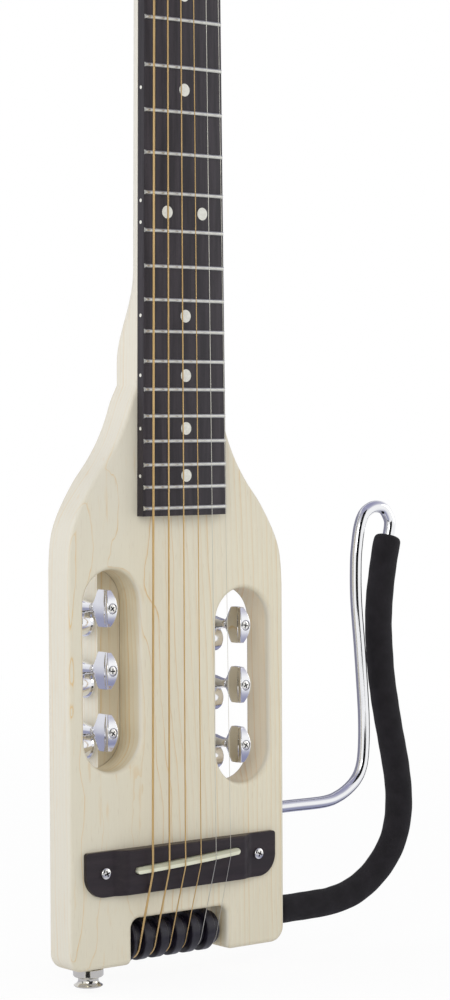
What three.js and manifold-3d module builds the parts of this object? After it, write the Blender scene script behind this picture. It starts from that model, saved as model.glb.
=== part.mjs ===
import * as THREE from "three";
import { mergeVertices } from "three/addons/utils/BufferGeometryUtils.js";
import Module from "manifold-3d";

const wasm = await Module();
wasm.setup();

// Headless travel guitar, in millimetres: x to the treble side, y to the back, z up the neck.
// Inside the group, z is 0 where the scale ends at the saddle, and y is 0 at the fretboard's edge.

// Scale, fretboard and frets
const scaleLength = 628.65;
const fretCount = 22;
const fretsPerOctave = 12;
const nutWidth = 44.5;
const boardEndWidth = 52.6;
const boardPastLastFret = 4;
const boardEdgeThickness = 5.2;
const boardCrownRadius = 305;
const fretWidth = 2.2;
const fretHeight = 1;
const fretTopWidth = 0.9;
const fretRoot = 0.6;
const fretEndInset = 0.35;

// Neck and body blank
const plateThickness = 18.8;
const bodyWidth = 136.4;
const tailBelowSaddle = 51.3;
const headPastNut = 31;
const bodyEdgeRound = 2.5;
const tailCornerRadius = 8;
const shoulderTop = 238;
const shoulderDrop = 91;
const trebleShoulderDrop = 11.5;
const heelTop = 295;
const heelBottom = 250;
const neckOverPlate = 10;
const neckDepthAtHeel = 14.8;
const neckDepthAtNut = 13.4;
const neckFlat = 1.2;
const neckSide = 0.6;
const headDepth = 15;
const headRound = 3.5;
const headCornerRadius = 9;

// How the bass shoulder runs: share of the drop, share of the widening.
const shoulderShares = [
  [0, 0], [0.088, 0.098], [0.198, 0.186], [0.308, 0.3], [0.418, 0.455], [0.527, 0.643],
  [0.637, 0.795], [0.725, 0.895], [0.802, 0.955], [0.89, 0.986], [1, 1],
];

// Tuner slots and tail notch
const slotCentre = 41.4;
const slotWidth = 34.8;
const slotHeight = 100.4;
const slotBelowShoulder = 91.6;
const slotStagger = 12.4;
const notchWidth = 61;
const notchHeight = 22.8;
const notchRadius = 5;
const notchLipRadius = 3;

// Rear block
const blockWidth = 75;
const blockThickness = 25.45;
const blockHeadLength = 58;
const channelMargin = 0.65;
const channelPastPost = 13;
const channelCornerRadius = 6;
const lipDepth = 1.1;
const lipCover = 0.9;
const blockCornerRadius = 12;

// Strings: gauges from bass to treble
const stringDiameters = [1.35, 1.07, 0.81, 0.61, 0.41, 0.3];
const stringSpacingAtSaddle = 9.9;
const stringSpacingAtNut = 7.3;
const actionAtNut = 0.45;
const saddleStringHeight = 4.3;
const windingTurns = 2;
const windingStepsPerTurn = 24;
const windingGap = 0.45;
const outerWindingShift = 1.08;
const stringSides = 6;
const ballRadius = 1.9;

// Saddle, bridge and pickup
const bridgeWidth = 120;
const bridgeTop = 7.5;
const bridgeBottom = 15.2;
const bridgeWingThickness = 2.3;
const bridgeMiddleThickness = 6.4;
const bridgeMiddleMargin = 4.4;
const bridgeScoop = 5;
const bridgeFrontBevel = 0.8;
const bridgeRearFall = 1.8;
const bridgeRearRun = 4.5;
const bridgeLowerRadius = 11;
const bridgeUpperRadius = 1.5;
const bridgeScrewInset = 11.5;
const bridgeScrewDrop = 3.3;
const saddleOverhang = 7.85;
const saddleThickness = 3.4;
const saddleCompensation = 2.7;
const saddleMiddleDrop = 1.5;
const saddleFloor = 1.4;
const saddleFrontFall = 0.9;
const saddleRearFall = 0.3;
const pickupThickness = 1.1;
const pickupMargin = 1.5;

// Nut, string anchor and truss rod
const nutThickness = 4.6;
const nutSlotDepth = 0.8;
const anchorFromNut = 9;
const anchorWallThickness = 3.4;
const anchorBaseLength = 14;
const anchorBaseThickness = 2.4;
const anchorWidth = 41;
const anchorHeight = 7.6;
const anchorHoleRadius = 1.4;
const anchorScrewSpacing = 29.2;
const rodChannelWidth = 6.6;
const rodChannelDepth = 9.4;
const rodChannelStart = 200;
const rodRadius = 2.9;
const rodNutRadius = 3;
const rodNutLength = 11;
const rodNutRecess = 3;
const rodHexRadius = 2;

// Rollers and axle
const rollerAxisY = 16.3;
const rollerAxisDrop = 40.6;
const rollerRadius = 11;
const rollerGrooveRadius = 8.5;
const rollerGap = 0.4;
const rollerHubWidth = 4.5;
const rollerRimRound = 0.6;
const axleRadius = 3;
const axleSeat = 4;

// Tuners
const tunersPerSide = 3;
const tunerPitch = 30.9;
const keyFromBlock = 4.7;
const wormToGear = 8.1;
const postFromPlate = 9;
const postRadius = 2.8;
const postNeckRadius = 3.1;
const postHeadRadius = 3.3;
const postHeadLength = 1.5;
const postEndFromCentre = 16;
const postHoleRadius = 0.85;
const gearRadius = 5.2;
const gearThickness = 4.7;
const gearFromBlock = 1.9;
const wormRadius = 2.6;
const wormLength = 9.2;
const shaftRadius = 1.4;
const cupRadius = 6.6;
const cupHeight = 8.2;
const cupWall = 0.9;
const basePlateThickness = 1.4;
const basePlateRadius = 7.4;
const earRadius = 3.2;
const earReach = 11.5;
const barrelRadius = 3.7;
const barrelTail = 6.4;
const noseStart = 2.6;
const noseLength = 7.6;
const noseTip = 2;
const noseTipRadius = 2.35;
const noseMiddleRadius = 2.85;
const buttonApexFromFace = 0.8;
const buttonLength = 15;
const buttonHalfWidth = 9.3;
const buttonHalfThickness = 3.28;
const buttonDome = 2.8;
const buttonBoreDepth = 6.6;
const buttonScrewHeadRadius = 2.5;
const buttonScrewHeadHeight = 1.1;
const buttonScrewRadius = 0.9;
// Rings of the button from its neck to its face: share of length, width, thickness and edge.
const buttonShares = [
  [0, 0.38, 0.62, 0.32], [0.33, 0.98, 0.96, 0.35], [0.42, 1, 1, 0.35],
  [0.88, 1, 1, 0.35], [1, 0.96, 0.96, 0.33],
];

// Leg rest: its centre line is given as shares of its reach from the body and of its height
const legRodRadius = 3.15;
const legReach = 88.9;
const legHeight = 210.6;
const legLowerDrop = 36.8;
const legSocketDepth = 28;
const legInserted = 25;
const legTurnPerStep = 0.28;
const legLongestStep = 24;
const sleeveRadius = 7.3;
const sleeveSides = 12;
const legUpperShares = [
  [0, 0.256], [0.2, 0.256], [0.395, 0.256], [0.51, 0.27], [0.601, 0.289], [0.661, 0.311], [0.69, 0.334], [0.702, 0.36],
  [0.7035, 0.402], [0.7, 0.505], [0.683, 0.633], [0.654, 0.762], [0.652, 0.853], [0.661, 0.901],
  [0.683, 0.953], [0.719, 0.977], [0.76, 0.995], [0.816, 1], [0.876, 0.993], [0.913, 0.976],
  [0.932, 0.955],
];
const legSleeveShares = [
  [0.92, 0.923], [0.881, 0.86], [0.841, 0.758], [0.839, 0.63], [0.876, 0.5], [0.916, 0.396],
  [0.972, 0.342], [0.998, 0.29], [1, 0.223], [0.981, 0.162], [0.911, 0.105], [0.776, 0.048],
  [0.552, 0.01], [0.381, 0], [0.19, 0],
];

// End-pin jack
const jackFromCentre = 51;
const jackBarrelRadius = 5.6;
const jackBarrelLength = 30;
const jackBoreRadius = 3.2;
const jackBoreDepth = 26;
const jackCollarRadius = 7.7;
const jackCollarHeight = 5;
const jackWaistRadius = 5.05;
const jackWaistDrop = 7.6;
const jackFlangeRadius = 7.3;
const jackFlangeDrop = 9.6;
const jackLength = 11.3;
const jackLipRadius = 5.4;

// Wood screws
const woodScrewHeadRadius = 2.9;
const woodScrewHeadHeight = 1.6;
const woodScrewRadius = 1.4;
const woodScrewLength = 11;
const anchorScrewHeadRadius = 2.2;

// Clearances and cutting
const fitGap = 0.3;
const seatGap = 0.2;
const runningGap = 0.3;
const cutOverrun = 1;
const weldTolerance = 1e-3;

// Facets
const arcSteps = 4;
const slotArcSteps = 8;
const neckFacets = 5;
const smallRound = 12;
const rollerSides = 14;
const roundSides = 16;
const boardFacets = 2;
const saddleFacets = 6;
const rollerWrapSteps = 9;
const boreSides = 10;
const tinySides = 8;

// Places that follow from the sizes
const plateFront = boardEdgeThickness;
const plateBack = plateFront + plateThickness;
const blockBack = plateBack + blockThickness;
const bodyHalf = bodyWidth / 2;
const blockHalf = blockWidth / 2;
const notchHalf = notchWidth / 2;
const nutZ = scaleLength;
const headEnd = nutZ + headPastNut;
const lastFretZ = fretPlace(fretCount);
const boardEnd = lastFretZ - boardPastLastFret;
const tailZ = -tailBelowSaddle;
const rollerZ = -rollerAxisDrop;
const postY = plateBack + postFromPlate;
const notchTopZ = tailZ + notchHeight;
const legY = plateFront + plateThickness / 2;
const anchorZ = nutZ + anchorFromNut;
const stringCount = stringDiameters.length;
const outerStringX = (stringSpacingAtSaddle * (stringCount - 1)) / 2;
const channelHalf = outerStringX + stringDiameters[0] / 2 + channelMargin;
const lipStep = channelHalf - slotCentre + slotWidth / 2 + lipCover;
const bassSlotMiddle = shoulderTop - slotBelowShoulder - slotHeight / 2;
const trebleSlotMiddle = bassSlotMiddle - slotStagger;
const topPostZ = bassSlotMiddle + ((tunersPerSide - 1) / 2) * tunerPitch - wormToGear;
const channelTop = topPostZ + channelPastPost;
const blockTop = channelTop + blockHeadLength;
const restHeight = (blockTop + channelTop) / 2;
const saddleLength = stringSpacingAtSaddle * (stringCount - 1) + 2 * saddleOverhang;

function fretPlace(n) {
  return scaleLength * 2 ** (-n / fretsPerOctave);
}

function boardHalfAt(z) {
  const run = scaleLength - fretPlace(fretCount);
  const share = (scaleLength - z) / run;
  return THREE.MathUtils.lerp(nutWidth, boardEndWidth, share) / 2;
}

// Height of the crowned fretboard at x; the crown meets the edge plane at the wide end.
function crownDepth(x) {
  const edge = boardEndWidth / 2;
  return (x * x - edge * edge) / (2 * boardCrownRadius);
}

function crownBetween(x, half) {
  const share = Math.abs(x) / half;
  return THREE.MathUtils.lerp(crownDepth(0), crownDepth(half), share * share);
}

// Turns a closed geometry into a solid, whichever way its faces point.
function solidOf(geometry) {
  const bare = geometry.index ? geometry.toNonIndexed() : geometry.clone();
  bare.deleteAttribute("normal");
  bare.deleteAttribute("uv");
  const merged = mergeVertices(bare, weldTolerance);
  const triVerts = new Uint32Array(merged.index.array);
  const vertProperties = merged.attributes.position.array;
  const made = new wasm.Manifold(new wasm.Mesh({ numProp: 3, vertProperties, triVerts }));
  if (made.volume() > 0) return made;
  const turned = triVerts.slice().reverse();
  return new wasm.Manifold(new wasm.Mesh({ numProp: 3, vertProperties, triVerts: turned }));
}

function geometryOf(solid) {
  const mesh = solid.getMesh();
  const geometry = new THREE.BufferGeometry();
  geometry.setAttribute("position", new THREE.BufferAttribute(mesh.vertProperties, 3));
  geometry.setIndex(new THREE.BufferAttribute(mesh.triVerts, 1));
  geometry.computeVertexNormals();
  return geometry;
}

function joined(solids) {
  return solids.reduce((whole, next) => whole.add(next));
}

function cut(body, tools) {
  return tools.reduce((left, tool) => left.subtract(tool), body);
}

function boxBetween(low, high) {
  const size = high.map((value, i) => value - low[i]);
  const middle = high.map((value, i) => (value + low[i]) / 2);
  return solidOf(new THREE.BoxGeometry(...size).translate(...middle));
}

// A lathe about y through the point (x, z) from a profile of [radius, y] pairs.
function turnedAlongY(profile, x, z, sides) {
  const points = profile.map(([r, y]) => new THREE.Vector2(r, y));
  return solidOf(new THREE.LatheGeometry(points, sides).translate(x, 0, z));
}

// A lathe about x through the point (y, z) from a profile of [radius, x] pairs.
function turnedAlongX(profile, y, z, sides) {
  const points = profile.map(([r, x]) => new THREE.Vector2(r, x));
  return solidOf(new THREE.LatheGeometry(points, sides).rotateZ(-Math.PI / 2).translate(0, y, z));
}

// A lathe about z through the point (x, y) from a profile of [radius, z] pairs.
function turnedAlongZ(profile, x, y, sides) {
  const points = profile.map(([r, z]) => new THREE.Vector2(r, z));
  return solidOf(new THREE.LatheGeometry(points, sides).rotateX(Math.PI / 2).translate(x, y, 0));
}

function pin(radius, from, to) {
  return [[0, from], [radius, from], [radius, to], [0, to]];
}

function arc(x, z, radius, from, to, steps) {
  const points = [];
  for (let i = 0; i <= steps; i++) {
    const angle = THREE.MathUtils.lerp(from, to, i / steps);
    points.push(new THREE.Vector2(x + radius * Math.cos(angle), z + radius * Math.sin(angle)));
  }
  return points;
}

// Extrudes an outline of (x, z) points from one y to another, with its edges rounded if asked.
function slab(outline, from, to, round = 0, holes = []) {
  const shape = new THREE.Shape(outline);
  shape.holes = holes.map((hole) => new THREE.Path(hole));
  const settings = { depth: to - from - 2 * round, bevelEnabled: round > 0 };
  Object.assign(settings, { bevelThickness: round, bevelSize: round, bevelOffset: -round });
  settings.bevelSegments = 2;
  const geometry = new THREE.ExtrudeGeometry(shape, settings);
  return solidOf(geometry.rotateX(Math.PI / 2).translate(0, to - round, 0));
}

// Skins rings of points that have the same count, and closes both ends.
function skinned(rings) {
  const positions = [];
  const count = rings[0].length;
  const face = (a, b, c) => positions.push(...a.toArray(), ...b.toArray(), ...c.toArray());
  for (let r = 0; r + 1 < rings.length; r++) {
    for (let i = 0; i < count; i++) {
      const next = (i + 1) % count;
      face(rings[r][i], rings[r + 1][i], rings[r + 1][next]);
      face(rings[r][i], rings[r + 1][next], rings[r][next]);
    }
  }
  const first = rings[0];
  const last = rings[rings.length - 1];
  for (let i = 1; i + 1 < count; i++) {
    face(first[0], first[i], first[i + 1]);
    face(last[0], last[i + 1], last[i]);
  }
  const geometry = new THREE.BufferGeometry();
  geometry.setAttribute("position", new THREE.Float32BufferAttribute(positions, 3));
  return solidOf(geometry);
}

// A path that passes through given stations and puts one ring of a tube on each.
class StationPath extends THREE.Curve {
  constructor(stations) {
    super();
    this.stations = stations;
  }
  getPoint(t) {
    const place = t * (this.stations.length - 1);
    const before = Math.min(Math.floor(place), this.stations.length - 2);
    return this.stations[before].clone().lerp(this.stations[before + 1], place - before);
  }
  getPointAt(t) {
    return this.getPoint(t);
  }
  getTangentAt(t) {
    const last = this.stations.length - 1;
    const i = Math.round(t * last);
    const ahead = this.stations[Math.min(i + 1, last)].clone();
    const behind = this.stations[Math.max(i - 1, 0)];
    return ahead.sub(behind).normalize();
  }
}

function tube(stations, radius, sides) {
  const ring = new THREE.Shape(arc(0, 0, radius, 0, 2 * Math.PI * (1 - 1 / sides), sides - 1));
  const path = new StationPath(stations);
  const settings = { steps: stations.length - 1, bevelEnabled: false, extrudePath: path };
  return solidOf(new THREE.ExtrudeGeometry(ring, settings));
}

// Places along a smooth line that lie closer where it bends.
function stationsAlong(points) {
  const curve = new THREE.CatmullRomCurve3(points, false, "centripetal");
  const fine = curve.getSpacedPoints(points.length * roundSides);
  const kept = [fine[0]];
  let lastDirection = fine[1].clone().sub(fine[0]).normalize();
  for (let i = 1; i + 1 < fine.length; i++) {
    const direction = fine[i + 1].clone().sub(fine[i]).normalize();
    const reach = fine[i].distanceTo(kept[kept.length - 1]);
    if (direction.angleTo(lastDirection) >= legTurnPerStep || reach >= legLongestStep) {
      kept.push(fine[i]);
      lastDirection = direction;
    }
  }
  kept.push(fine[fine.length - 1]);
  return kept;
}

// Materials
function finish(color, roughness, metalness) {
  return new THREE.MeshStandardMaterial({ color, roughness, metalness });
}

const mapleWood = () => finish(0xdcd5bd, 0.6, 0);
const boardWood = () => finish(0x3a3336, 0.55, 0);
const bridgeWood = () => finish(0x30282c, 0.6, 0);
const boneWhite = () => finish(0xdfe0c8, 0.4, 0);
const blackPlastic = () => finish(0x1b1b1e, 0.3, 0);
const foamBlack = () => finish(0x262427, 0.95, 0);
const chromeMetal = () => finish(0xd8dae0, 0.12, 1);
const nickelMetal = () => finish(0xc8c4b8, 0.22, 1);
const steelMetal = () => finish(0xb4b6ba, 0.3, 1);
const blackMetal = () => finish(0x2a2a2d, 0.45, 0.8);
const bronzeWire = () => finish(0xb98a4f, 0.35, 1);
const plainWire = () => finish(0xc4c6c9, 0.25, 1);
const brassMetal = () => finish(0xb5924e, 0.35, 1);
const piezoFoil = () => finish(0xa9a9a2, 0.5, 0.6);

// Body blank: a flat plate with a shoulder each side, carved into the neck above the heel
function shoulder(side) {
  const top = side < 0 ? shoulderTop : shoulderTop - trebleShoulderDrop;
  const inner = boardHalfAt(shoulderTop);
  return shoulderShares.map(([down, out]) => {
    const x = THREE.MathUtils.lerp(inner, bodyHalf, out);
    return new THREE.Vector2(side * x, top - down * shoulderDrop);
  });
}

function bodyOutline() {
  const quarter = Math.PI / 2;
  const corner = bodyHalf - tailCornerRadius;
  const lip = notchHalf + notchLipRadius;
  const inner = notchHalf - notchRadius;
  const cornerZ = tailZ + tailCornerRadius;
  const lipZ = tailZ + notchLipRadius;
  const innerZ = notchTopZ - notchRadius;
  return [
    new THREE.Vector2(-boardHalfAt(shoulderTop), heelBottom),
    ...shoulder(-1),
    ...arc(-corner, cornerZ, tailCornerRadius, Math.PI, 3 * quarter, arcSteps),
    ...arc(-lip, lipZ, notchLipRadius, -quarter, 0, arcSteps),
    ...arc(-inner, innerZ, notchRadius, Math.PI, quarter, arcSteps),
    ...arc(inner, innerZ, notchRadius, quarter, 0, arcSteps),
    ...arc(lip, lipZ, notchLipRadius, Math.PI, 3 * quarter, arcSteps),
    ...arc(corner, cornerZ, tailCornerRadius, -quarter, 0, arcSteps),
    ...shoulder(1).reverse(),
    new THREE.Vector2(boardHalfAt(shoulderTop), heelBottom),
  ];
}

function slotOutline(side) {
  const middle = side < 0 ? bassSlotMiddle : trebleSlotMiddle;
  const radius = slotWidth / 2;
  const straight = slotHeight / 2 - radius;
  const x = side * slotCentre;
  return [
    ...arc(x, middle - straight, radius, 0, -Math.PI, slotArcSteps),
    ...arc(x, middle + straight, radius, Math.PI, 0, slotArcSteps),
  ];
}

// One section of the neck: flat in front, with elliptical back corners that meet when it is round.
function neckSection(z, half, depth, acrossCorner, intoCorner) {
  const side = [];
  for (let i = 0; i <= neckFacets; i++) {
    const angle = ((Math.PI / 2) * i) / neckFacets;
    const x = half - acrossCorner * (1 - Math.cos(angle));
    side.push([x, depth - intoCorner * (1 - Math.sin(angle))]);
  }
  const ring = [[half, 0], ...side];
  const other = ring.map(([x, y]) => [-x, y]).reverse();
  return [...ring, ...other].map(([x, y]) => new THREE.Vector3(x, plateFront + y, z));
}

function neckSolid() {
  const start = heelBottom - neckOverPlate;
  const edge = bodyEdgeRound;
  const rings = [start, heelBottom].map((z) =>
    neckSection(z, boardHalfAt(z), plateThickness, edge, edge),
  );
  for (const share of [0.2, 0.4, 0.6, 0.8, 1]) {
    const z = THREE.MathUtils.lerp(heelBottom, heelTop, share);
    const ease = THREE.MathUtils.smoothstep(share, 0, 1);
    const depth = THREE.MathUtils.lerp(plateThickness, neckDepthAtHeel, ease);
    const half = boardHalfAt(z);
    const across = THREE.MathUtils.lerp(edge, half - neckFlat, ease);
    const into = THREE.MathUtils.lerp(edge, depth - neckSide, ease);
    rings.push(neckSection(z, half, depth, across, into));
  }
  const half = nutWidth / 2;
  const nutDepth = neckDepthAtNut - neckSide;
  rings.push(neckSection(nutZ, half, neckDepthAtNut, half - neckFlat, nutDepth));
  const headStart = nutZ + nutThickness + headRound;
  rings.push(neckSection(headStart, half, headDepth, headCornerRadius, headCornerRadius));
  rings.push(neckSection(headEnd - headRound, half, headDepth, headCornerRadius, headCornerRadius));
  const tip = headCornerRadius - headRound;
  rings.push(neckSection(headEnd, half - headRound, headDepth - headRound, tip, tip));
  return skinned(rings);
}

function rodChannel() {
  const half = rodChannelWidth / 2;
  const low = [-half, plateFront - cutOverrun, rodChannelStart];
  return boxBetween(low, [half, plateFront + rodChannelDepth, headEnd + cutOverrun]);
}

function legSocket(z) {
  const low = bodyHalf - legSocketDepth;
  return turnedAlongX(pin(legRodRadius + fitGap, low, bodyHalf + cutOverrun), legY, z, smallRound);
}

function neckBody() {
  const holes = [slotOutline(-1), slotOutline(1)];
  const plate = slab(bodyOutline(), plateFront, plateBack, bodyEdgeRound, holes);
  const axleReach = notchHalf + axleSeat + fitGap;
  const jackSeat = pin(jackBarrelRadius + fitGap, tailZ - cutOverrun, tailZ + jackBarrelLength + fitGap);
  const tools = [
    rodChannel(),
    legSocket(legLine()[0].z),
    legSocket(-legLowerDrop),
    turnedAlongX(pin(axleRadius + fitGap, -axleReach, axleReach), rollerAxisY, rollerZ, smallRound),
    turnedAlongZ(jackSeat, -jackFromCentre, legY, smallRound),
    ...bridgeScrewPlaces().map(([x, z]) => screwHole(x, z, plateFront - cutOverrun, woodScrewLength)),
    ...anchorScrewPlaces().map(([x, z]) => screwHole(x, z, plateFront - cutOverrun, woodScrewLength)),
  ];
  return cut(joined([plate, neckSolid()]), tools);
}

function screwHole(x, z, from, length) {
  return turnedAlongY(pin(woodScrewRadius + fitGap, from, from + length + cutOverrun), x, z, smallRound);
}

// Edge of the string channel, set inwards by the given step
function channelEdge(step) {
  const quarter = Math.PI / 2;
  const half = channelHalf - step;
  const x = half - channelCornerRadius;
  const z = channelTop - step - channelCornerRadius;
  const narrowZ = notchTopZ + notchHalf - half;
  return [
    new THREE.Vector2(-half, narrowZ),
    ...arc(-x, z, channelCornerRadius, Math.PI, quarter, arcSteps),
    ...arc(x, z, channelCornerRadius, quarter, 0, arcSteps),
    new THREE.Vector2(half, narrowZ),
  ];
}

// Rear block: carries the tuners on its side faces, with a string channel open to the back that
// widens round the rollers and keeps a thin lip next to the plate
function rearBlock() {
  const quarter = Math.PI / 2;
  const top = blockTop - blockCornerRadius;
  const x = blockHalf - blockCornerRadius;
  const outline = [
    new THREE.Vector2(-blockHalf, tailZ),
    new THREE.Vector2(-notchHalf, tailZ),
    new THREE.Vector2(-notchHalf, notchTopZ),
    ...channelEdge(lipStep),
    new THREE.Vector2(notchHalf, notchTopZ),
    new THREE.Vector2(notchHalf, tailZ),
    new THREE.Vector2(blockHalf, tailZ),
    ...arc(x, top, blockCornerRadius, 0, quarter, arcSteps),
    ...arc(-x, top, blockCornerRadius, quarter, Math.PI, arcSteps),
  ];
  const holes = [];
  for (const side of [-1, 1]) {
    for (let i = 0; i < tunersPerSide; i++) {
      const ends = [side * (channelHalf - cutOverrun), side * (blockHalf + cutOverrun)];
      const hole = pin(postNeckRadius + runningGap, Math.min(...ends), Math.max(...ends));
      holes.push(turnedAlongX(hole, postY, keyZ(side, i) - wormToGear, smallRound));
    }
  }
  holes.push(slab(channelEdge(0), plateBack + lipDepth, blockBack + cutOverrun));
  return cut(slab(outline, plateBack, blockBack), holes);
}

// Fretboard with its frets pressed in
function fretboard() {
  const rings = [boardEnd, nutZ].map((z) => {
    const half = boardHalfAt(z);
    const ring = [new THREE.Vector3(half, plateFront, z), new THREE.Vector3(-half, plateFront, z)];
    for (let i = 0; i <= boardFacets; i++) {
      const x = THREE.MathUtils.lerp(-half, half, i / boardFacets);
      ring.push(new THREE.Vector3(x, crownBetween(x, half), z));
    }
    return ring;
  });
  const frets = [];
  for (let n = 1; n <= fretCount; n++) frets.push(fret(fretPlace(n)));
  return joined([skinned(rings), ...frets]);
}

function fret(z) {
  const whole = boardHalfAt(z);
  const half = whole - fretEndInset;
  const rings = [];
  for (let i = 0; i <= boardFacets; i++) {
    const x = THREE.MathUtils.lerp(-half, half, i / boardFacets);
    const y = crownBetween(x, whole);
    const foot = fretWidth / 2;
    const top = fretTopWidth / 2;
    rings.push([
      new THREE.Vector3(x, y + fretRoot, z - foot),
      new THREE.Vector3(x, y - fretHeight, z - top),
      new THREE.Vector3(x, y - fretHeight, z + top),
      new THREE.Vector3(x, y + fretRoot, z + foot),
    ]);
  }
  return skinned(rings);
}

// Strings
function stringX(i, spacing) {
  return (i - (stringCount - 1) / 2) * spacing;
}

function saddleZ(x) {
  const span = stringSpacingAtSaddle * (stringCount - 1);
  return (saddleCompensation * x) / span - saddleMiddleDrop;
}

function saddleY(x) {
  const edge = stringX(stringCount - 1, stringSpacingAtSaddle);
  return -saddleStringHeight - crownDepth(edge) + crownDepth(x);
}

function nutY(x) {
  return crownBetween(x, nutWidth / 2) - fretHeight - actionAtNut;
}

// Where two lines of sight leave a circle: the tangent point on its front side.
function frontTangent(y, z, centreY, centreZ, radius) {
  const dy = centreY - y;
  const dz = centreZ - z;
  const distance = Math.hypot(dy, dz);
  const heading = Math.atan2(dz, dy);
  const spread = Math.asin(radius / distance);
  const reach = Math.sqrt(distance * distance - radius * radius);
  const ends = [heading + spread, heading - spread].map((angle) => [
    y + reach * Math.cos(angle),
    z + reach * Math.sin(angle),
  ]);
  return ends[0][0] < ends[1][0] ? ends[0] : ends[1];
}

// The strings go to the nearest post first: the outermost string to the lowest one.
function tunerOf(i) {
  const side = i < stringCount / 2 ? -1 : 1;
  return { side, place: side < 0 ? i : stringCount - 1 - i };
}

function keyZ(side, place) {
  const middle = side < 0 ? bassSlotMiddle : trebleSlotMiddle;
  return middle + (place - (tunersPerSide - 1) / 2) * tunerPitch;
}

function windingStart(i) {
  const { side, place } = tunerOf(i);
  const start = postEndFromCentre + 2 * postHeadLength + stringDiameters[0] / 2;
  return side * (place === 0 ? start + outerWindingShift : start);
}

function stringStations(i) {
  const wire = stringDiameters[i] / 2;
  const nutX = stringX(i, stringSpacingAtNut);
  const x = stringX(i, stringSpacingAtSaddle);
  const z = saddleZ(x);
  const breakZ = z - (saddleThickness / 2 - saddleRearFall);
  const rollRadius = rollerGrooveRadius + seatGap + wire;
  const stations = [
    new THREE.Vector3(nutX, nutY(nutX) + ballRadius, anchorZ + anchorWallThickness + ballRadius),
    new THREE.Vector3(nutX, nutY(nutX) + ballRadius / 2, anchorZ),
    new THREE.Vector3(nutX, nutY(nutX) - wire, nutZ + nutThickness + seatGap),
    new THREE.Vector3(nutX, nutY(nutX) - wire, nutZ),
    new THREE.Vector3(x, saddleY(x), z),
    new THREE.Vector3(x, saddleY(x), breakZ),
  ];
  const [leaveY, leaveZ] = frontTangent(saddleY(x), breakZ, rollerAxisY, rollerZ, rollRadius);
  const start = Math.atan2(leaveZ - rollerZ, leaveY - rollerAxisY) + 2 * Math.PI;
  const windX = windingStart(i);
  const { side, place } = tunerOf(i);
  const postZ = keyZ(side, place) - wormToGear;
  const windRadius = postRadius + seatGap + wire;
  for (let k = 0; k <= rollerWrapSteps; k++) {
    const angle = THREE.MathUtils.lerp(start, 2 * Math.PI, k / rollerWrapSteps);
    const y = rollerAxisY + rollRadius * Math.cos(angle);
    stations.push(new THREE.Vector3(x, y, rollerZ + rollRadius * Math.sin(angle)));
  }
  const pitch = stringDiameters[i] + windingGap + seatGap;
  const steps = windingTurns * windingStepsPerTurn;
  for (let k = 0; k <= steps; k++) {
    const angle = (2 * Math.PI * k) / windingStepsPerTurn;
    const along = windX + (side * pitch * k) / windingStepsPerTurn;
    const y = postY - windRadius * Math.cos(angle);
    stations.push(new THREE.Vector3(along, y, postZ + windRadius * Math.sin(angle)));
  }
  return stations;
}

// The least gap between one turn of a winding and the next, measured on its points.
function leastWindingGap(i) {
  const steps = windingTurns * windingStepsPerTurn;
  const turns = stringStations(i).slice(-steps - 1);
  let least = Infinity;
  turns.forEach((a, m) =>
    turns.forEach((b, n) => {
      if (n - m >= windingStepsPerTurn / 2) least = Math.min(least, a.distanceTo(b));
    }),
  );
  return least - stringDiameters[i];
}

function string(i) {
  const stations = stringStations(i);
  const wire = tube(stations, stringDiameters[i] / 2, stringSides);
  const end = stations[0];
  const ball = turnedAlongX(
    pin(ballRadius, end.x - ballRadius, end.x + ballRadius), end.y, end.z, tinySides);
  return joined([wire, ball]);
}

// Nut and saddle: crowned strips that the strings rest in and on
function nut() {
  const half = nutWidth / 2;
  const rings = [nutZ + seatGap, nutZ + nutThickness].map((z) => {
    const ring = [new THREE.Vector3(half, plateFront, z), new THREE.Vector3(-half, plateFront, z)];
    for (let i = 0; i <= boardFacets; i++) {
      const x = THREE.MathUtils.lerp(-half, half, i / boardFacets);
      ring.push(new THREE.Vector3(x, nutY(x) - nutSlotDepth, z));
    }
    return ring;
  });
  const slots = stringDiameters.map((diameter, i) => {
    const x = stringX(i, stringSpacingAtNut);
    const wide = diameter / 2 + seatGap;
    const floor = nutY(x) + seatGap;
    const low = [x - wide, floor - diameter - nutSlotDepth - cutOverrun, nutZ - cutOverrun];
    return boxBetween(low, [x + wide, floor, nutZ + nutThickness + cutOverrun]);
  });
  return cut(skinned(rings), slots);
}

function saddleTurn() {
  return -Math.atan(saddleCompensation / (stringSpacingAtSaddle * (stringCount - 1)));
}

function placedAtSaddle(geometry) {
  return solidOf(geometry.rotateY(saddleTurn()).translate(0, 0, -saddleMiddleDrop));
}

function saddleFloorY() {
  return plateFront - saddleFloor;
}

function saddle() {
  const half = saddleLength / 2;
  const thick = saddleThickness / 2;
  const bottom = saddleFloorY() - pickupThickness - seatGap;
  const rings = [];
  const steps = saddleFacets;
  for (let i = 0; i <= steps; i++) {
    const x = THREE.MathUtils.lerp(-half, half, i / steps);
    const end = i % steps === 0;
    const narrow = end ? thick / 2 : thick;
    const fall = end ? thick : 0;
    const top = saddleY(x) + stringDiameters[0] / 2 + seatGap + fall;
    rings.push([
      new THREE.Vector3(x, bottom, -narrow),
      new THREE.Vector3(x, bottom, narrow),
      new THREE.Vector3(x, top + saddleFrontFall, narrow),
      new THREE.Vector3(x, top, 0),
      new THREE.Vector3(x, top, saddleRearFall - narrow),
      new THREE.Vector3(x, top + saddleRearFall, -narrow),
    ]);
  }
  return placedAtSaddle(geometryOf(skinned(rings)));
}

function pickupStrip() {
  const size = [saddleLength - 2 * pickupMargin, pickupThickness, saddleThickness - 2 * seatGap];
  const y = saddleFloorY() - pickupThickness / 2;
  return placedAtSaddle(new THREE.BoxGeometry(...size).translate(0, y, 0));
}

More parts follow.
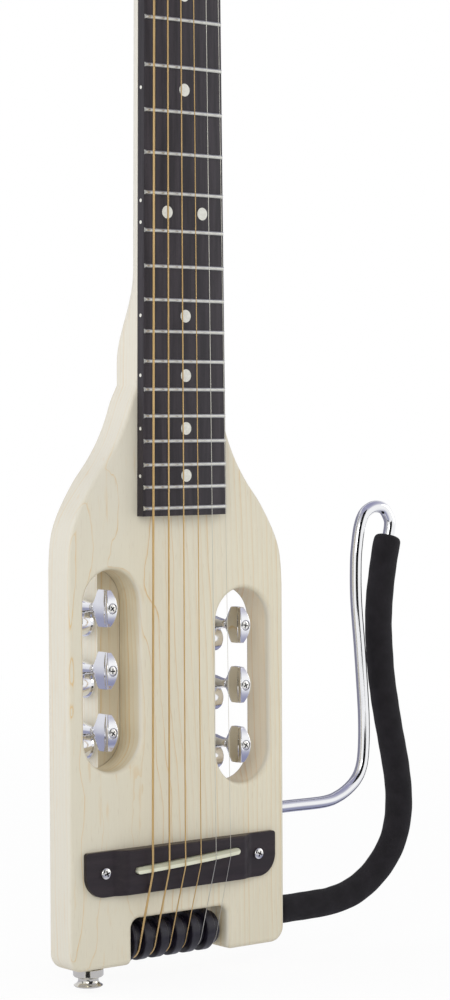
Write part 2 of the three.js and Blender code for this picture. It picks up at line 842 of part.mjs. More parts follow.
// Bridge: thin wings, a thick middle with scooped ends, and the slanted saddle slot
function bridgeScrewPlaces() {
  const x = bridgeWidth / 2 - bridgeScrewInset;
  return [[-x, -bridgeScrewDrop], [x, -bridgeScrewDrop]];
}

function bridge() {
  const quarter = Math.PI / 2;
  const low = bridgeWidth / 2 - bridgeLowerRadius;
  const high = bridgeWidth / 2 - bridgeUpperRadius;
  const lowZ = bridgeLowerRadius - bridgeBottom;
  const highZ = bridgeTop - bridgeUpperRadius;
  const outline = [
    ...arc(-high, highZ, bridgeUpperRadius, quarter, Math.PI, arcSteps),
    ...arc(-low, lowZ, bridgeLowerRadius, Math.PI, 3 * quarter, arcSteps),
    ...arc(low, lowZ, bridgeLowerRadius, -quarter, 0, arcSteps),
    ...arc(high, highZ, bridgeUpperRadius, 0, quarter, arcSteps),
  ];
  const wings = slab(outline, plateFront - bridgeWingThickness, plateFront);
  const middle = saddleLength / 2 + bridgeMiddleMargin;
  const rings = [];
  const levels = [
    [-bridgeBottom, bridgeRearFall], [bridgeRearRun - bridgeBottom, 0],
    [bridgeTop - bridgeFrontBevel, 0], [bridgeTop, bridgeFrontBevel],
  ];
  for (const [z, fall] of levels) {
    const ring = [new THREE.Vector3(middle + bridgeScoop, plateFront, z)];
    for (const side of [1, -1]) {
      const scoop = [];
      for (let i = 0; i <= arcSteps; i++) {
        const angle = (quarter * i) / arcSteps;
        const rise = bridgeMiddleThickness - bridgeWingThickness - fall;
        const x = middle + bridgeScoop * (1 - Math.sin(angle));
        const y = plateFront - bridgeWingThickness - rise * (1 - Math.cos(angle));
        scoop.push(new THREE.Vector3(side * x, y, z));
      }
      ring.push(...(side > 0 ? scoop : scoop.reverse()));
    }
    ring.push(new THREE.Vector3(-middle - bridgeScoop, plateFront, z));
    rings.push(ring);
  }
  const raised = skinned(rings);
  const slotSize = [saddleLength + 2 * fitGap + saddleThickness / 2, plateThickness];
  const slotBox = new THREE.BoxGeometry(...slotSize, saddleThickness + 2 * fitGap);
  const slot = placedAtSaddle(slotBox.translate(0, saddleFloorY() - plateThickness / 2, 0));
  const front = plateFront - bridgeMiddleThickness - cutOverrun;
  const holes = bridgeScrewPlaces().map(([x, z]) => screwHole(x, z, front, woodScrewLength));
  const seat = plateFront - bridgeWingThickness - seatGap;
  const headRoom = pin(woodScrewHeadRadius + fitGap, front, seat);
  const rooms = bridgeScrewPlaces().map(([x, z]) => turnedAlongY(headRoom, x, z, smallRound));
  return cut(joined([wings, raised]), [slot, ...holes, ...rooms]);
}

// A round-head screw along y whose head rests on the face at y
function woodScrew(x, z, faceY, headRadius) {
  const head = faceY - seatGap;
  const top = head - woodScrewHeadHeight;
  const dome = headRadius * Math.SQRT1_2;
  const domeY = top + (woodScrewHeadHeight * (1 - Math.SQRT1_2)) / 2;
  const tip = faceY + woodScrewLength - woodScrewHeadHeight - woodScrewRadius;
  const profile = [
    [0, top], [dome, domeY], [headRadius, head], [woodScrewRadius, head],
    [woodScrewRadius, tip - woodScrewRadius], [0, tip],
  ];
  return turnedAlongY(profile, x, z, boreSides);
}

// String anchor at the head end: the ball ends sit behind its wall
function anchorScrewPlaces() {
  const z = anchorZ + anchorWallThickness + (anchorBaseLength - anchorWallThickness) / 2;
  const x = anchorScrewSpacing / 2;
  return [[-x, z], [x, z]];
}

function stringAnchor() {
  const half = anchorWidth / 2;
  const deck = plateFront - anchorBaseThickness;
  const wall = boxBetween(
    [-half, plateFront - anchorHeight, anchorZ],
    [half, plateFront, anchorZ + anchorWallThickness],
  );
  const base = boxBetween([-half, deck, anchorZ], [half, plateFront, anchorZ + anchorBaseLength]);
  const holes = stringDiameters.map((diameter, i) => {
    const x = stringX(i, stringSpacingAtNut);
    const y = nutY(x) + ballRadius * 0.75;
    const run = pin(anchorHoleRadius, anchorZ - cutOverrun, anchorZ + anchorWallThickness + cutOverrun);
    return turnedAlongZ(run, x, y, tinySides - 2);
  });
  const screws = anchorScrewPlaces().map(([x, z]) => screwHole(x, z, deck - cutOverrun, woodScrewLength));
  return cut(joined([wall, base]), [...holes, ...screws]);
}

// Truss rod in its channel, with a hex socket that faces the open end of the head
function trussRod() {
  const y = plateFront + rodChannelDepth - rodNutRadius - fitGap;
  const end = headEnd - rodNutRecess;
  const profile = [
    [0, rodChannelStart + fitGap], [rodRadius, rodChannelStart + fitGap],
    [rodRadius, end - rodNutLength], [rodNutRadius, end - rodNutLength], [rodNutRadius, end], [0, end],
  ];
  const socket = turnedAlongZ(pin(rodHexRadius, end - rodNutLength / 2, end + cutOverrun), 0, y, 6);
  return cut(turnedAlongZ(profile, 0, y, smallRound), [socket]);
}

// Rollers in the tail notch, side by side on one axle: a hub for the string and a flange beside it
function roller(i) {
  const x = stringX(i, stringSpacingAtSaddle);
  const hubEnd = x + rollerHubWidth / 2;
  const step = x - rollerHubWidth / 2;
  const cornerRoom = notchRadius / 3;
  const start = Math.max(hubEnd - stringSpacingAtSaddle + rollerGap, cornerRoom - notchHalf);
  const bore = axleRadius + runningGap;
  const shoulderRadius = rollerRadius - rollerRimRound;
  const profile = [
    [bore, start], [shoulderRadius, start], [rollerRadius, start + rollerRimRound],
    [rollerRadius, step - rollerRimRound], [shoulderRadius, step], [rollerGrooveRadius, step],
    [rollerGrooveRadius, hubEnd], [bore, hubEnd], [bore, start],
  ];
  return turnedAlongX(profile, rollerAxisY, rollerZ, rollerSides);
}

function rollerAxle() {
  const reach = notchHalf + axleSeat;
  return turnedAlongX(pin(axleRadius, -reach, reach), rollerAxisY, rollerZ, smallRound);
}

// Tuners: a cast housing on the block's side, a worm shaft with its button, and a geared post
function tunerHousing(side, place) {
  const z = keyZ(side, place);
  const gearZ = z - wormToGear;
  const at = (out) => side * (blockHalf + out);
  const across = (radius, from, to, y, centreZ, sides) => {
    const ends = [at(from), at(to)].sort((a, b) => a - b);
    return turnedAlongX(pin(radius, ...ends), y, centreZ, sides);
  };
  const keyX = at(keyFromBlock);
  const noseFrom = postY - noseStart;
  const noseTo = noseFrom - noseLength;
  const barrel = [
    [0, noseTo - noseTip], [noseTipRadius, noseTo - noseTip], [noseTipRadius, noseTo],
    [noseMiddleRadius, noseTo + noseLength / 2], [barrelRadius, noseFrom],
    [barrelRadius, postY + barrelTail], [0, postY + barrelTail],
  ];
  const cavity = wormRadius + runningGap;
  const wormRun = wormLength / 2 + runningGap;
  const shell = joined([
    across(basePlateRadius, 0, basePlateThickness, postY, gearZ, smallRound),
    across(earRadius, 0, basePlateThickness, postY + earReach, gearZ, tinySides),
    boxBetween(
      [Math.min(at(0), at(basePlateThickness)), postY, gearZ - earRadius],
      [Math.max(at(0), at(basePlateThickness)), postY + earReach, gearZ + earRadius],
    ),
    across(cupRadius, 0, cupHeight, postY, gearZ, smallRound),
    turnedAlongY(barrel, keyX, z, smallRound),
  ]);
  const bores = [
    across(cupRadius - cupWall, -cutOverrun, cupHeight - cupWall, postY, gearZ, smallRound),
    turnedAlongY(pin(cavity, postY - wormRun, postY + wormRun), keyX, z, boreSides),
    turnedAlongY(
      pin(shaftRadius + runningGap, noseTo - noseTip - cutOverrun, postY), keyX, z, tinySides),
  ];
  return cut(shell, bores);
}

function tunerPost(side, place) {
  const z = keyZ(side, place) - wormToGear;
  const at = (out) => side * (blockHalf + out);
  const end = side * postEndFromCentre;
  const neck = side * channelHalf;
  const profile = [
    [0, end], [postHeadRadius, end], [postHeadRadius, end + side * postHeadLength],
    [postRadius, end + side * 2 * postHeadLength], [postRadius, neck], [postNeckRadius, neck],
    [postNeckRadius, at(gearFromBlock)], [gearRadius, at(gearFromBlock)],
    [gearRadius, at(gearFromBlock + gearThickness)], [0, at(gearFromBlock + gearThickness)],
  ];
  const holeX = end + side * (postHeadLength * 2 + 2 * postHoleRadius);
  const run = pin(postHoleRadius, postY - 2 * postRadius, postY + 2 * postRadius);
  const hole = turnedAlongY(run, holeX, z, tinySides - 2);
  return cut(turnedAlongX(profile, postY, z, boreSides), [hole]);
}

function buttonApex() {
  return plateFront - buttonApexFromFace;
}

function shaftEnd() {
  return buttonApex() + buttonLength - buttonBoreDepth + fitGap;
}

function tunerShaft(side, place) {
  const x = side * (blockHalf + keyFromBlock);
  const worm = wormLength / 2;
  const profile = [
    [0, shaftEnd()], [shaftRadius, shaftEnd()], [shaftRadius, postY - worm],
    [wormRadius, postY - worm], [wormRadius, postY + worm],
    [shaftRadius, postY + worm], [0, postY + worm],
  ];
  const socket = pin(buttonScrewRadius + seatGap, shaftEnd() - cutOverrun, shaftEnd() + buttonBoreDepth);
  const body = turnedAlongY(profile, x, keyZ(side, place), tinySides);
  return cut(body, [turnedAlongY(socket, x, keyZ(side, place), tinySides - 2)]);
}

function tunerButton(side, place) {
  const x = side * (blockHalf + keyFromBlock);
  const z = keyZ(side, place);
  const back = buttonApex() + buttonLength;
  const rings = buttonShares.map(([along, wide, thick, edge]) => {
    const y = back - along * (buttonLength - buttonDome);
    const half = wide * buttonHalfWidth;
    const middle = thick * buttonHalfThickness;
    const rim = edge * buttonHalfThickness;
    const crown = (share) => THREE.MathUtils.lerp(middle, rim, share * share);
    const dome = along < 1 ? 0 : buttonDome;
    const ring = [];
    for (const share of [-1, -0.5, 0, 0.5, 1]) {
      const fall = dome * (1 - share * share);
      ring.push(new THREE.Vector3(x - crown(share), y - fall, z + share * half));
    }
    for (const share of [1, 0.5, 0, -0.5, -1]) {
      const fall = dome * (1 - share * share);
      ring.push(new THREE.Vector3(x + crown(share), y - fall, z + share * half));
    }
    return ring;
  });
  const head = buttonScrewHeadRadius + seatGap;
  const headFloor = buttonApex() + buttonScrewHeadHeight + seatGap;
  const tools = [
    pin(shaftRadius + fitGap, back - buttonBoreDepth, back + cutOverrun),
    pin(head, buttonApex() - cutOverrun, headFloor),
    pin(buttonScrewRadius + seatGap, headFloor - cutOverrun, back - buttonBoreDepth + cutOverrun),
  ].map((profile) => turnedAlongY(profile, x, z, tinySides));
  return cut(buttonSolid(rings), tools);
}

// The button's face is crowned, so its last ring is closed strip by strip.
function buttonSolid(rings) {
  const last = rings[rings.length - 1];
  const strips = [skinned(rings.slice(0, -1))];
  const before = rings[rings.length - 2];
  const half = last.length / 2;
  for (let i = 0; i + 1 < half; i++) {
    const pick = (ring) => [ring[i], ring[i + 1], ring[ring.length - 2 - i], ring[ring.length - 1 - i]];
    strips.push(skinned([pick(before), pick(last)]));
  }
  return joined(strips);
}

function buttonScrew(side, place) {
  const x = side * (blockHalf + keyFromBlock);
  const head = buttonApex() + buttonScrewHeadHeight;
  const profile = [
    [0, buttonApex()], [buttonScrewHeadRadius, buttonApex() + seatGap],
    [buttonScrewHeadRadius, head], [buttonScrewRadius, head],
    [buttonScrewRadius, shaftEnd() + buttonBoreDepth / 2], [0, shaftEnd() + buttonBoreDepth / 2],
  ];
  return turnedAlongY(profile, x, keyZ(side, place), tinySides);
}

// Leg rest: one bent rod, plugged into the treble side at both ends, with a foam sleeve
function legPoint([out, up]) {
  return new THREE.Vector3(bodyHalf + out * legReach, legY, up * legHeight - legLowerDrop);
}

function legLine() {
  const upper = legUpperShares.map(legPoint);
  const inside = bodyHalf - legInserted;
  return [new THREE.Vector3(inside, legY, upper[0].z), ...upper, ...legSleeveShares.map(legPoint),
    new THREE.Vector3(inside, legY, -legLowerDrop)];
}

function legRod() {
  return tube(stationsAlong(legLine()), legRodRadius, smallRound - 2);
}

function legSleeve() {
  const outer = bodyHalf + seatGap + fitGap;
  const end = new THREE.Vector3(outer, legY, -legLowerDrop);
  const stations = stationsAlong([...legSleeveShares.map(legPoint), end]);
  const foam = tube(stations, sleeveRadius, sleeveSides);
  const run = legLine();
  const bore = tube(stationsAlong(run), legRodRadius + fitGap, smallRound - 2);
  return cut(foam, [bore]);
}

// End-pin jack: a barrel in the tail with a strap collar outside
function endPinJack() {
  const down = (drop) => tailZ - drop;
  const profile = [
    [jackBoreRadius, down(jackLength)], [jackLipRadius, down(jackLength)],
    [jackFlangeRadius, down(jackFlangeDrop)], [jackWaistRadius, down(jackWaistDrop)],
    [jackWaistRadius, down(jackCollarHeight + jackBoreRadius / 4)],
    [jackCollarRadius, down(jackCollarHeight)], [jackCollarRadius, down(seatGap)],
    [jackBarrelRadius, down(seatGap)], [jackBarrelRadius, tailZ + jackBarrelLength],
    [0, tailZ + jackBarrelLength], [0, tailZ + jackBoreDepth], [jackBoreRadius, tailZ + jackBoreDepth],
    [jackBoreRadius, down(jackLength)],
  ];
  return turnedAlongZ(profile, -jackFromCentre, legY, smallRound + 2);
}

// Assembly
const guitar = new THREE.Group();
const instrument = new THREE.Group();
instrument.position.set(0, -blockBack, -restHeight);
guitar.add(instrument);

function place(name, solid, material) {
  const mesh = new THREE.Mesh(geometryOf(solid), material);
  mesh.name = name;
  instrument.add(mesh);
}

place("neck_body", neckBody(), mapleWood());
place("rear_block", rearBlock(), mapleWood());
place("fretboard", fretboard(), boardWood());
place("nut", nut(), boneWhite());
place("truss_rod", trussRod(), steelMetal());
place("string_anchor", stringAnchor(), blackMetal());
place("bridge", bridge(), bridgeWood());
place("saddle", saddle(), boneWhite());
place("pickup_strip", pickupStrip(), piezoFoil());
["bass", "treble"].forEach((name, i) => {
  const [bridgeX, bridgeZ] = bridgeScrewPlaces()[i];
  const bridgeFace = plateFront - bridgeWingThickness;
  place(`bridge_screw_${name}`, woodScrew(bridgeX, bridgeZ, bridgeFace, woodScrewHeadRadius), nickelMetal());
  const [anchorX, screwZ] = anchorScrewPlaces()[i];
  const deck = plateFront - anchorBaseThickness;
  place(`anchor_screw_${name}`, woodScrew(anchorX, screwZ, deck, anchorScrewHeadRadius), blackMetal());
});
place("roller_axle", rollerAxle(), steelMetal());
for (let i = 0; i < stringCount; i++) {
  const wound = i < stringCount - 2;
  place(`string_${i + 1}`, string(i), wound ? bronzeWire() : plainWire());
  place(`tail_roller_${i + 1}`, roller(i), blackPlastic());
  const { side, place: row } = tunerOf(i);
  place(`tuner_housing_${i + 1}`, tunerHousing(side, row), chromeMetal());
  place(`tuner_post_${i + 1}`, tunerPost(side, row), chromeMetal());
  place(`tuner_shaft_${i + 1}`, tunerShaft(side, row), steelMetal());
  place(`tuner_button_${i + 1}`, tunerButton(side, row), chromeMetal());
  place(`button_screw_${i + 1}`, buttonScrew(side, row), nickelMetal());
  console.log(`winding ${i + 1}: least gap ${leastWindingGap(i).toFixed(3)} mm`);
}
place("leg_rest_rod", legRod(), chromeMetal());
place("leg_rest_sleeve", legSleeve(), foamBlack());
place("end_pin_jack", endPinJack(), nickelMetal());

export default guitar;
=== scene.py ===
from math import asin, atan, atan2, cos, hypot, pi, radians, sin, sqrt

import bmesh
import bpy
from mathutils import Matrix, Vector
from mathutils.geometry import tessellate_polygon


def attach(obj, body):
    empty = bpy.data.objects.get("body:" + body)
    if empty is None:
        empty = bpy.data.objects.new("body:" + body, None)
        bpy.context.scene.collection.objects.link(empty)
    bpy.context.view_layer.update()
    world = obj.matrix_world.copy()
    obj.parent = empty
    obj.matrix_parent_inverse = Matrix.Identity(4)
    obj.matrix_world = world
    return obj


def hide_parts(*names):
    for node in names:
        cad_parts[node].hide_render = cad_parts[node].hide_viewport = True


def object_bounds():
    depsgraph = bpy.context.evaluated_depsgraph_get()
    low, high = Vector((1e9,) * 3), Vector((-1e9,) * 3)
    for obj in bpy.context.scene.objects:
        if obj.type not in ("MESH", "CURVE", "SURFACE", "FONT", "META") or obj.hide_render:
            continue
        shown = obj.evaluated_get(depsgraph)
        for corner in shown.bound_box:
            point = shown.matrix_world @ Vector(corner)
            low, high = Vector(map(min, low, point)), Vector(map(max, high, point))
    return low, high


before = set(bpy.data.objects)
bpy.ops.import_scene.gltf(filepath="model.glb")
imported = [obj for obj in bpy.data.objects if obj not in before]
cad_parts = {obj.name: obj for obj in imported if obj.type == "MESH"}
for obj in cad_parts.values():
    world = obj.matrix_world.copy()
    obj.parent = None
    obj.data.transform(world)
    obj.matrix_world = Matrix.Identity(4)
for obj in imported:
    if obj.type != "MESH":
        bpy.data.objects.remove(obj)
cad_box = [list(corner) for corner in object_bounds()]

def linked(name, data):
    """A new object that holds the data, in the scene."""
    thing = bpy.data.objects.new(name, data)
    bpy.context.scene.collection.objects.link(thing)
    return thing


# The camera stands to the bass side of the instrument, at arm's length and level with the bridge,
# with the long lens of a product picture.
camera_lens = bpy.data.cameras.new("picture_camera")
camera_lens.lens = 95.81
camera_lens.sensor_width = 36
camera_lens.clip_start = 0.05
camera_lens.clip_end = 60
camera = linked("picture_camera", camera_lens)
camera_right = Vector((0.78286316, -0.62217686, -0.00460662))
camera_up = Vector((0.02099572, 0.01901711, 0.99959868))
camera_back = Vector((-0.62183957, -0.78264571, 0.02795084))
camera_axes = Matrix((camera_right, camera_up, camera_back)).transposed()
camera.matrix_world = Matrix.Translation((-0.81487, -1.10714, 0.05636)) @ camera_axes.to_4x4()
bpy.context.scene.camera = camera
bpy.context.scene.view_settings.view_transform = "Standard"


# Shader and geometry-node maths is written as Python expressions on this one class.
class Wire:
    def __init__(self, tree, socket=None):
        self.tree, self.socket = tree, socket

    def node(self, kind, settings=(), sockets=(), out=0):
        made = self.tree.nodes.new(kind)
        for key, value in dict(settings).items():
            if key == "stops":
                elements = made.color_ramp.elements
                while len(elements) < len(value):
                    elements.new(1)
                for element, (place, color) in zip(elements, value):
                    element.position, element.color = place, color
            else:
                setattr(made, key, value)
        for key, value in dict(sockets).items():
            if isinstance(value, Wire):
                self.tree.links.new(value.socket, made.inputs[key])
            else:
                made.inputs[key].default_value = value
        return Wire(self.tree, made.outputs[out] if made.outputs else None)

    def math(self, operation, *others, clamp=False):
        sockets = dict(enumerate((self, *others)))
        return self.node("ShaderNodeMath", {"operation": operation, "use_clamp": clamp}, sockets)

    def __add__(self, other):
        return self.math("ADD", other)

    def __sub__(self, other):
        return self.math("SUBTRACT", other)

    def __rsub__(self, other):
        return (self * -1.0) + other

    def __mul__(self, other):
        return self.math("MULTIPLY", other)

    def __truediv__(self, other):
        return self.math("DIVIDE", other)

    def __rtruediv__(self, other):
        return (self ** -1.0) * other

    def __pow__(self, other):
        return self.math("POWER", other)

    def __rpow__(self, other):
        return self.node("ShaderNodeMath", {"operation": "POWER"}, {0: other, 1: self})

    __radd__, __rmul__ = __add__, __mul__

    def parts(self):
        split = self.tree.nodes.new("ShaderNodeSeparateXYZ")
        self.tree.links.new(self.socket, split.inputs[0])
        return [Wire(self.tree, output) for output in split.outputs]

    def joined(self, x, y, z):
        return self.node("ShaderNodeCombineXYZ", sockets={0: x, 1: y, 2: z})

    def scaled(self, x, y, z):
        return self.node("ShaderNodeMapping", sockets={"Vector": self, "Scale": (x, y, z)})

    def noise(self, scale, detail=2.0, rough=0.5):
        sockets = {"Vector": self, "Scale": scale, "Detail": detail, "Roughness": rough}
        return self.node("ShaderNodeTexNoise", sockets=sockets)

    def between(self, low, high):
        sockets = {0: self, 1: low, 2: high}
        return self.node("ShaderNodeMapRange", {"interpolation_type": "SMOOTHSTEP"}, sockets)

    def blend(self, *colors):
        low, high = (color if isinstance(color, Wire) else (*color, 1) for color in colors)
        return self.node("ShaderNodeMix", {"data_type": "RGBA"}, {0: self, 6: low, 7: high}, out=2)

    def bump(self, strength, distance):
        sockets = {"Strength": strength, "Distance": distance, "Height": self}
        return self.node("ShaderNodeBump", sockets=sockets)

    def surface(self, sockets):
        shader = self.node("ShaderNodeBsdfPrincipled", sockets=sockets)
        self.node("ShaderNodeOutputMaterial", sockets={"Surface": shader})


def material_tree(name):
    material = bpy.data.materials.new(name)
    material.use_nodes = True
    material.node_tree.nodes.clear()
    return material, Wire(material.node_tree)


def textured(name):
    """A new material, its tree and the place on the object in millimetres."""
    material, start = material_tree(name)
    return material, start, start.node("ShaderNodeTexCoord", out="Object").scaled(1000, 1000, 1000)


# The stage is a pale floor and a white surround. Both show white to the camera, to metal and
# to glass, and the floor keeps the instrument's soft shadow.
def seen_directly(start):
    rays = start.tree.nodes.new("ShaderNodeLightPath")
    camera_ray, glossy_ray, glass_ray = (
        Wire(start.tree, rays.outputs[name])
        for name in ("Is Camera Ray", "Is Glossy Ray", "Is Transmission Ray")
    )
    return camera_ray.math("MAXIMUM", glossy_ray).math("MAXIMUM", glass_ray)


white = (1, 1, 1, 1)
floor_gap = 0.0006
floor_depth = cad_box[0][2] - floor_gap
floor_reach = 9.0
floor_mesh = bpy.data.meshes.new("studio_floor")
floor_corners = ((-1, -1), (1, -1), (1, 1), (-1, 1))
floor_places = [(x * floor_reach, y * floor_reach, floor_depth) for x, y in floor_corners]
floor_mesh.from_pydata(floor_places, [], [(0, 1, 2, 3)])
studio_floor = linked("studio_floor", floor_mesh)
floor_paint, start = material_tree("floor_white")
floor_matt = start.node("ShaderNodeBsdfDiffuse", sockets={"Color": white})
floor_glow = start.node("ShaderNodeEmission", sockets={"Color": white, "Strength": 1.0})
floor_x, floor_y, _ = start.node("ShaderNodeTexCoord", out="Object").parts()
floor_far = (floor_x * floor_x + floor_y * floor_y).math("SQRT").between(0.25, 1.6)
floor_share = seen_directly(start) * (floor_far * 0.08 + 0.92)
floor_mix = start.node("ShaderNodeMixShader", sockets={0: floor_share, 1: floor_matt, 2: floor_glow})
start.node("ShaderNodeOutputMaterial", sockets={"Surface": floor_mix})
floor_mesh.materials.append(floor_paint)

world = bpy.data.worlds.new("studio_surround")
bpy.context.scene.world = world
world.use_nodes = True
world.node_tree.nodes.clear()
start = Wire(world.node_tree)
seen = start.node("ShaderNodeBackground", sockets={"Color": white, "Strength": 1.0})
lighting = start.node("ShaderNodeBackground", sockets={"Color": (0.97, 0.98, 1, 1), "Strength": 0.65})
mixed = start.node("ShaderNodeMixShader", sockets={0: seen_directly(start), 1: lighting, 2: seen})
start.node("ShaderNodeOutputWorld", sockets={"Surface": mixed})


def softbox(name, place, size, watts):
    """A soft lamp that faces the middle of the instrument."""
    lamp = bpy.data.lights.new(name, "AREA")
    lamp.shape, lamp.size, lamp.size_y, lamp.energy = "RECTANGLE", size[0], size[1], watts
    turn = Vector(place).to_track_quat("Z", "Y").to_matrix().to_4x4()
    linked(name, lamp).matrix_world = Matrix.Translation(place) @ turn


softbox("front_softbox", (-1.9, -2.2, 1.3), (1.6, 2.0), 30)
softbox("side_softbox", (2.4, -1.2, 0.9), (1.0, 2.0), 9)
softbox("rear_softbox", (-1.9, 1.1, 0.7), (1.2, 1.6), 12)


def reflector(name, rings, first, last, color, soft, centre=(0, 0)):
    """A curved studio card that fades to white at its rims: polished metal mirrors it and it lights nothing.

    Each ring is its radius, its height and how much of the colour is left there.
    """
    steps = 48
    turns = [(first + (last - first) * k / steps) for k in range(steps + 1)]
    faces = []
    for row in range(len(rings) - 1):
        low, high = row * (steps + 1), (row + 1) * (steps + 1)
        faces += [(low + k, low + k + 1, high + k + 1, high + k) for k in range(steps)]
    card_mesh = bpy.data.meshes.new(name)
    places, shares = [], []
    for radius, height, kept in rings:
        for turn in turns:
            a = radians(turn)
            places.append((centre[0] + radius * cos(a), centre[1] + radius * sin(a), height))
            shares.append(kept * min(1, min(turn - first, last - turn) / soft) if soft else kept)
    card_mesh.from_pydata(places, [], faces)
    card_mesh.attributes.new("paint_share", "FLOAT", "POINT").data.foreach_set("value", shares)
    card = linked(name, card_mesh)
    paint, start = material_tree(name + "_paint")
    share = start.node("ShaderNodeAttribute", {"attribute_name": "paint_share"}, out="Fac")
    shade = share.between(0, 1).blend((1, 1, 1), color)
    glow = start.node("ShaderNodeEmission", sockets={"Color": shade, "Strength": 1.0})
    start.node("ShaderNodeOutputMaterial", sockets={"Surface": glow})
    card_mesh.materials.append(paint)
    card.visible_camera = card.visible_diffuse = card.visible_shadow = False


floor_level = floor_depth + 0.002
foot = floor_level + 0.002
strip_level = floor_level + 0.001
ceiling = 1.3
near_black = (0.02, 0.02, 0.02)
grey_rings = [
    (0.16, foot, 0.85), (0.5, foot, 0.85), (1.0, foot, 0.6), (1.03, 0.0, 0.4), (1.06, 0.4, 0.34),
    (1.1, 1.6, 0),
]
table_rings = [(0.02, 0.5), (0.11, 0.5), (0.16, 0.95), (0.24, 0.75), (0.36, 0.4), (0.5, 0.2), (0.8, 0)]
top_rings = [(0.05, 1), (0.5, 1), (1.0, 0.8), (1.6, 0.66), (2.5, 0.3), (3.8, 0)]
reflector("grey_card", grey_rings, 50, 196, (0.30, 0.31, 0.44), 30)
reflector("black_card", [(0.95, foot, 1), (1.0, 1.2, 1)], 234, 285, (0.004, 0.004, 0.005), 5)
rear_rings = [(0.148, foot, 1), (0.15, 0.06, 1), (0.18, 0.25, 0)]
reflector("rear_card", rear_rings, 40, 160, (0.24, 0.24, 0.31), 4, (0.15, -0.035))
reflector("edge_card", [(0.93, foot, 1), (0.98, 1.2, 1)], 163, 177, near_black, 4)
reflector("table_card", [(r, floor_level, share) for r, share in table_rings], 0, 360, (0.27, 0.28, 0.42), 0)
strip_rings = [(0.012, strip_level, 1), (0.4, strip_level, 1)]
reflector("dark_strip", strip_rings, 212, 251, near_black, 7, (-0.051, -0.035))
reflector("top_card", [(r, ceiling, share) for r, share in top_rings], 0, 360, (0.33, 0.33, 0.47), 0)


# Body blank: one board of hard maple, band-sawn to outline and routed through for the tuners,
# with the neck carved from the same piece. Its edges are rounded over and the wood is sealed satin.
mm = 0.001
back_face, rest_height = 49.45, 161.0
plate_front, plate_back = 5.2, 24.0
body_half, tail, tail_corner = 68.2, -51.3, 8
bay_half, bay_top, bay_corner, bay_lip = 30.5, -28.5, 5, 3
edge_round = 2.5
nut_place, nut_half = 628.65, 22.25
fret_count = 22
last_fret = nut_place * 2 ** (-fret_count / 12)
board_taper = 4.05 / (nut_place - last_fret)
heel_bottom, heel_top = 250.0, 295.0
neck_depth, nut_depth, head_depth = 14.8, 13.4, 15.0
neck_flat, neck_wall = 1.2, 0.6
head_end, head_rise, head_side, head_round = 659.65, 8.1, 9.0, 3.5
side_of = {"bass": -1, "treble": 1}
shoulder_top = {"bass": 238.0, "treble": 226.5}
shoulder_fall = 91
slot_middle = {"bass": 96.2, "treble": 83.8}
slot_out, slot_run, slot_round = 41.4, 32.8, 17.4


def spot(x, y, z):
    """A place in the frame, from x, y behind the fretboard's edge and z above the saddle, in mm."""
    return Vector((x, y - back_face, z - rest_height)) * mm


def made_piece(name, vertices, faces):
    mesh = bpy.data.meshes.new(name)
    mesh.from_pydata(vertices, [], faces)
    shape = bmesh.new()
    shape.from_mesh(mesh)
    bmesh.ops.remove_doubles(shape, verts=shape.verts, dist=1e-7)
    bmesh.ops.recalc_face_normals(shape, faces=shape.faces)
    shape.to_mesh(mesh)
    shape.free()
    return linked(name, mesh)


def evaluated_mesh(piece):
    """The piece's mesh with its modifiers, as plain data; the modifiers go."""
    graph = bpy.context.evaluated_depsgraph_get()
    made = bpy.data.meshes.new_from_object(piece.evaluated_get(graph), depsgraph=graph)
    piece.modifiers.clear()
    return made


def carved(piece, tools, operation="DIFFERENCE"):
    for tool in tools:
        cut = piece.modifiers.new("cut", "BOOLEAN")
        cut.operation, cut.solver, cut.object = operation, "EXACT", tool
    piece.data = evaluated_mesh(piece)
    for tool in tools:
        bpy.data.objects.remove(tool)
    return piece


def softened(piece, bevel=0.0, angle=32.0, segments=3):
    """Smooth shading with crisp flats, and small rounded edges where bevel is given in mm."""
    limit = radians(angle)
    piece.data.shade_smooth()
    if bevel:
        edge = piece.modifiers.new("edge", "BEVEL")
        edge.width, edge.segments = bevel * mm, segments
        edge.limit_method, edge.angle_limit = "ANGLE", limit
        edge.use_clamp_overlap = True
        piece.data = evaluated_mesh(piece)
        piece.data.shade_smooth()
    piece.data.set_sharp_from_angle(angle=radians(50))
    shading = piece.modifiers.new("shading", "WEIGHTED_NORMAL")
    shading.keep_sharp = True
    piece.data = evaluated_mesh(piece)
    return piece


def dressed(piece, material, body, slot, *nodes):
    piece.data.materials.clear()
    piece.data.materials.append(material)
    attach(piece, body)
    if nodes:
        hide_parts(*nodes)
    return piece


def quarter(steps):
    """The angles of a quarter turn."""
    return [pi / 2 * k / steps for k in range(steps + 1)]


def arc(x, z, radius, first, last, steps):
    turn = [radians(first + (last - first) * i / steps) for i in range(steps + 1)]
    return [(x + radius * cos(a), z + radius * sin(a)) for a in turn]


def smooth_line(points, per_span):
    """A Catmull-Rom line through points of any dimension."""
    points = [Vector(p) for p in points]
    ends = [points[0] * 2 - points[1], *points, points[-1] * 2 - points[-2]]
    line = []
    for a, b, c, d in zip(ends, ends[1:], ends[2:], ends[3:]):
        for i in range(per_span):
            t = i / per_span
            line.append(
                0.5 * (2 * b + (c - a) * t + (2 * a - 5 * b + 4 * c - d) * t * t
                + (3 * b - a - 3 * c + d) * t ** 3)
            )
    return [*line, points[-1]]


def turned_area(loop):
    return sum(a[0] * b[1] - b[0] * a[1] for a, b in zip(loop, loop[1:] + loop[:1])) / 2


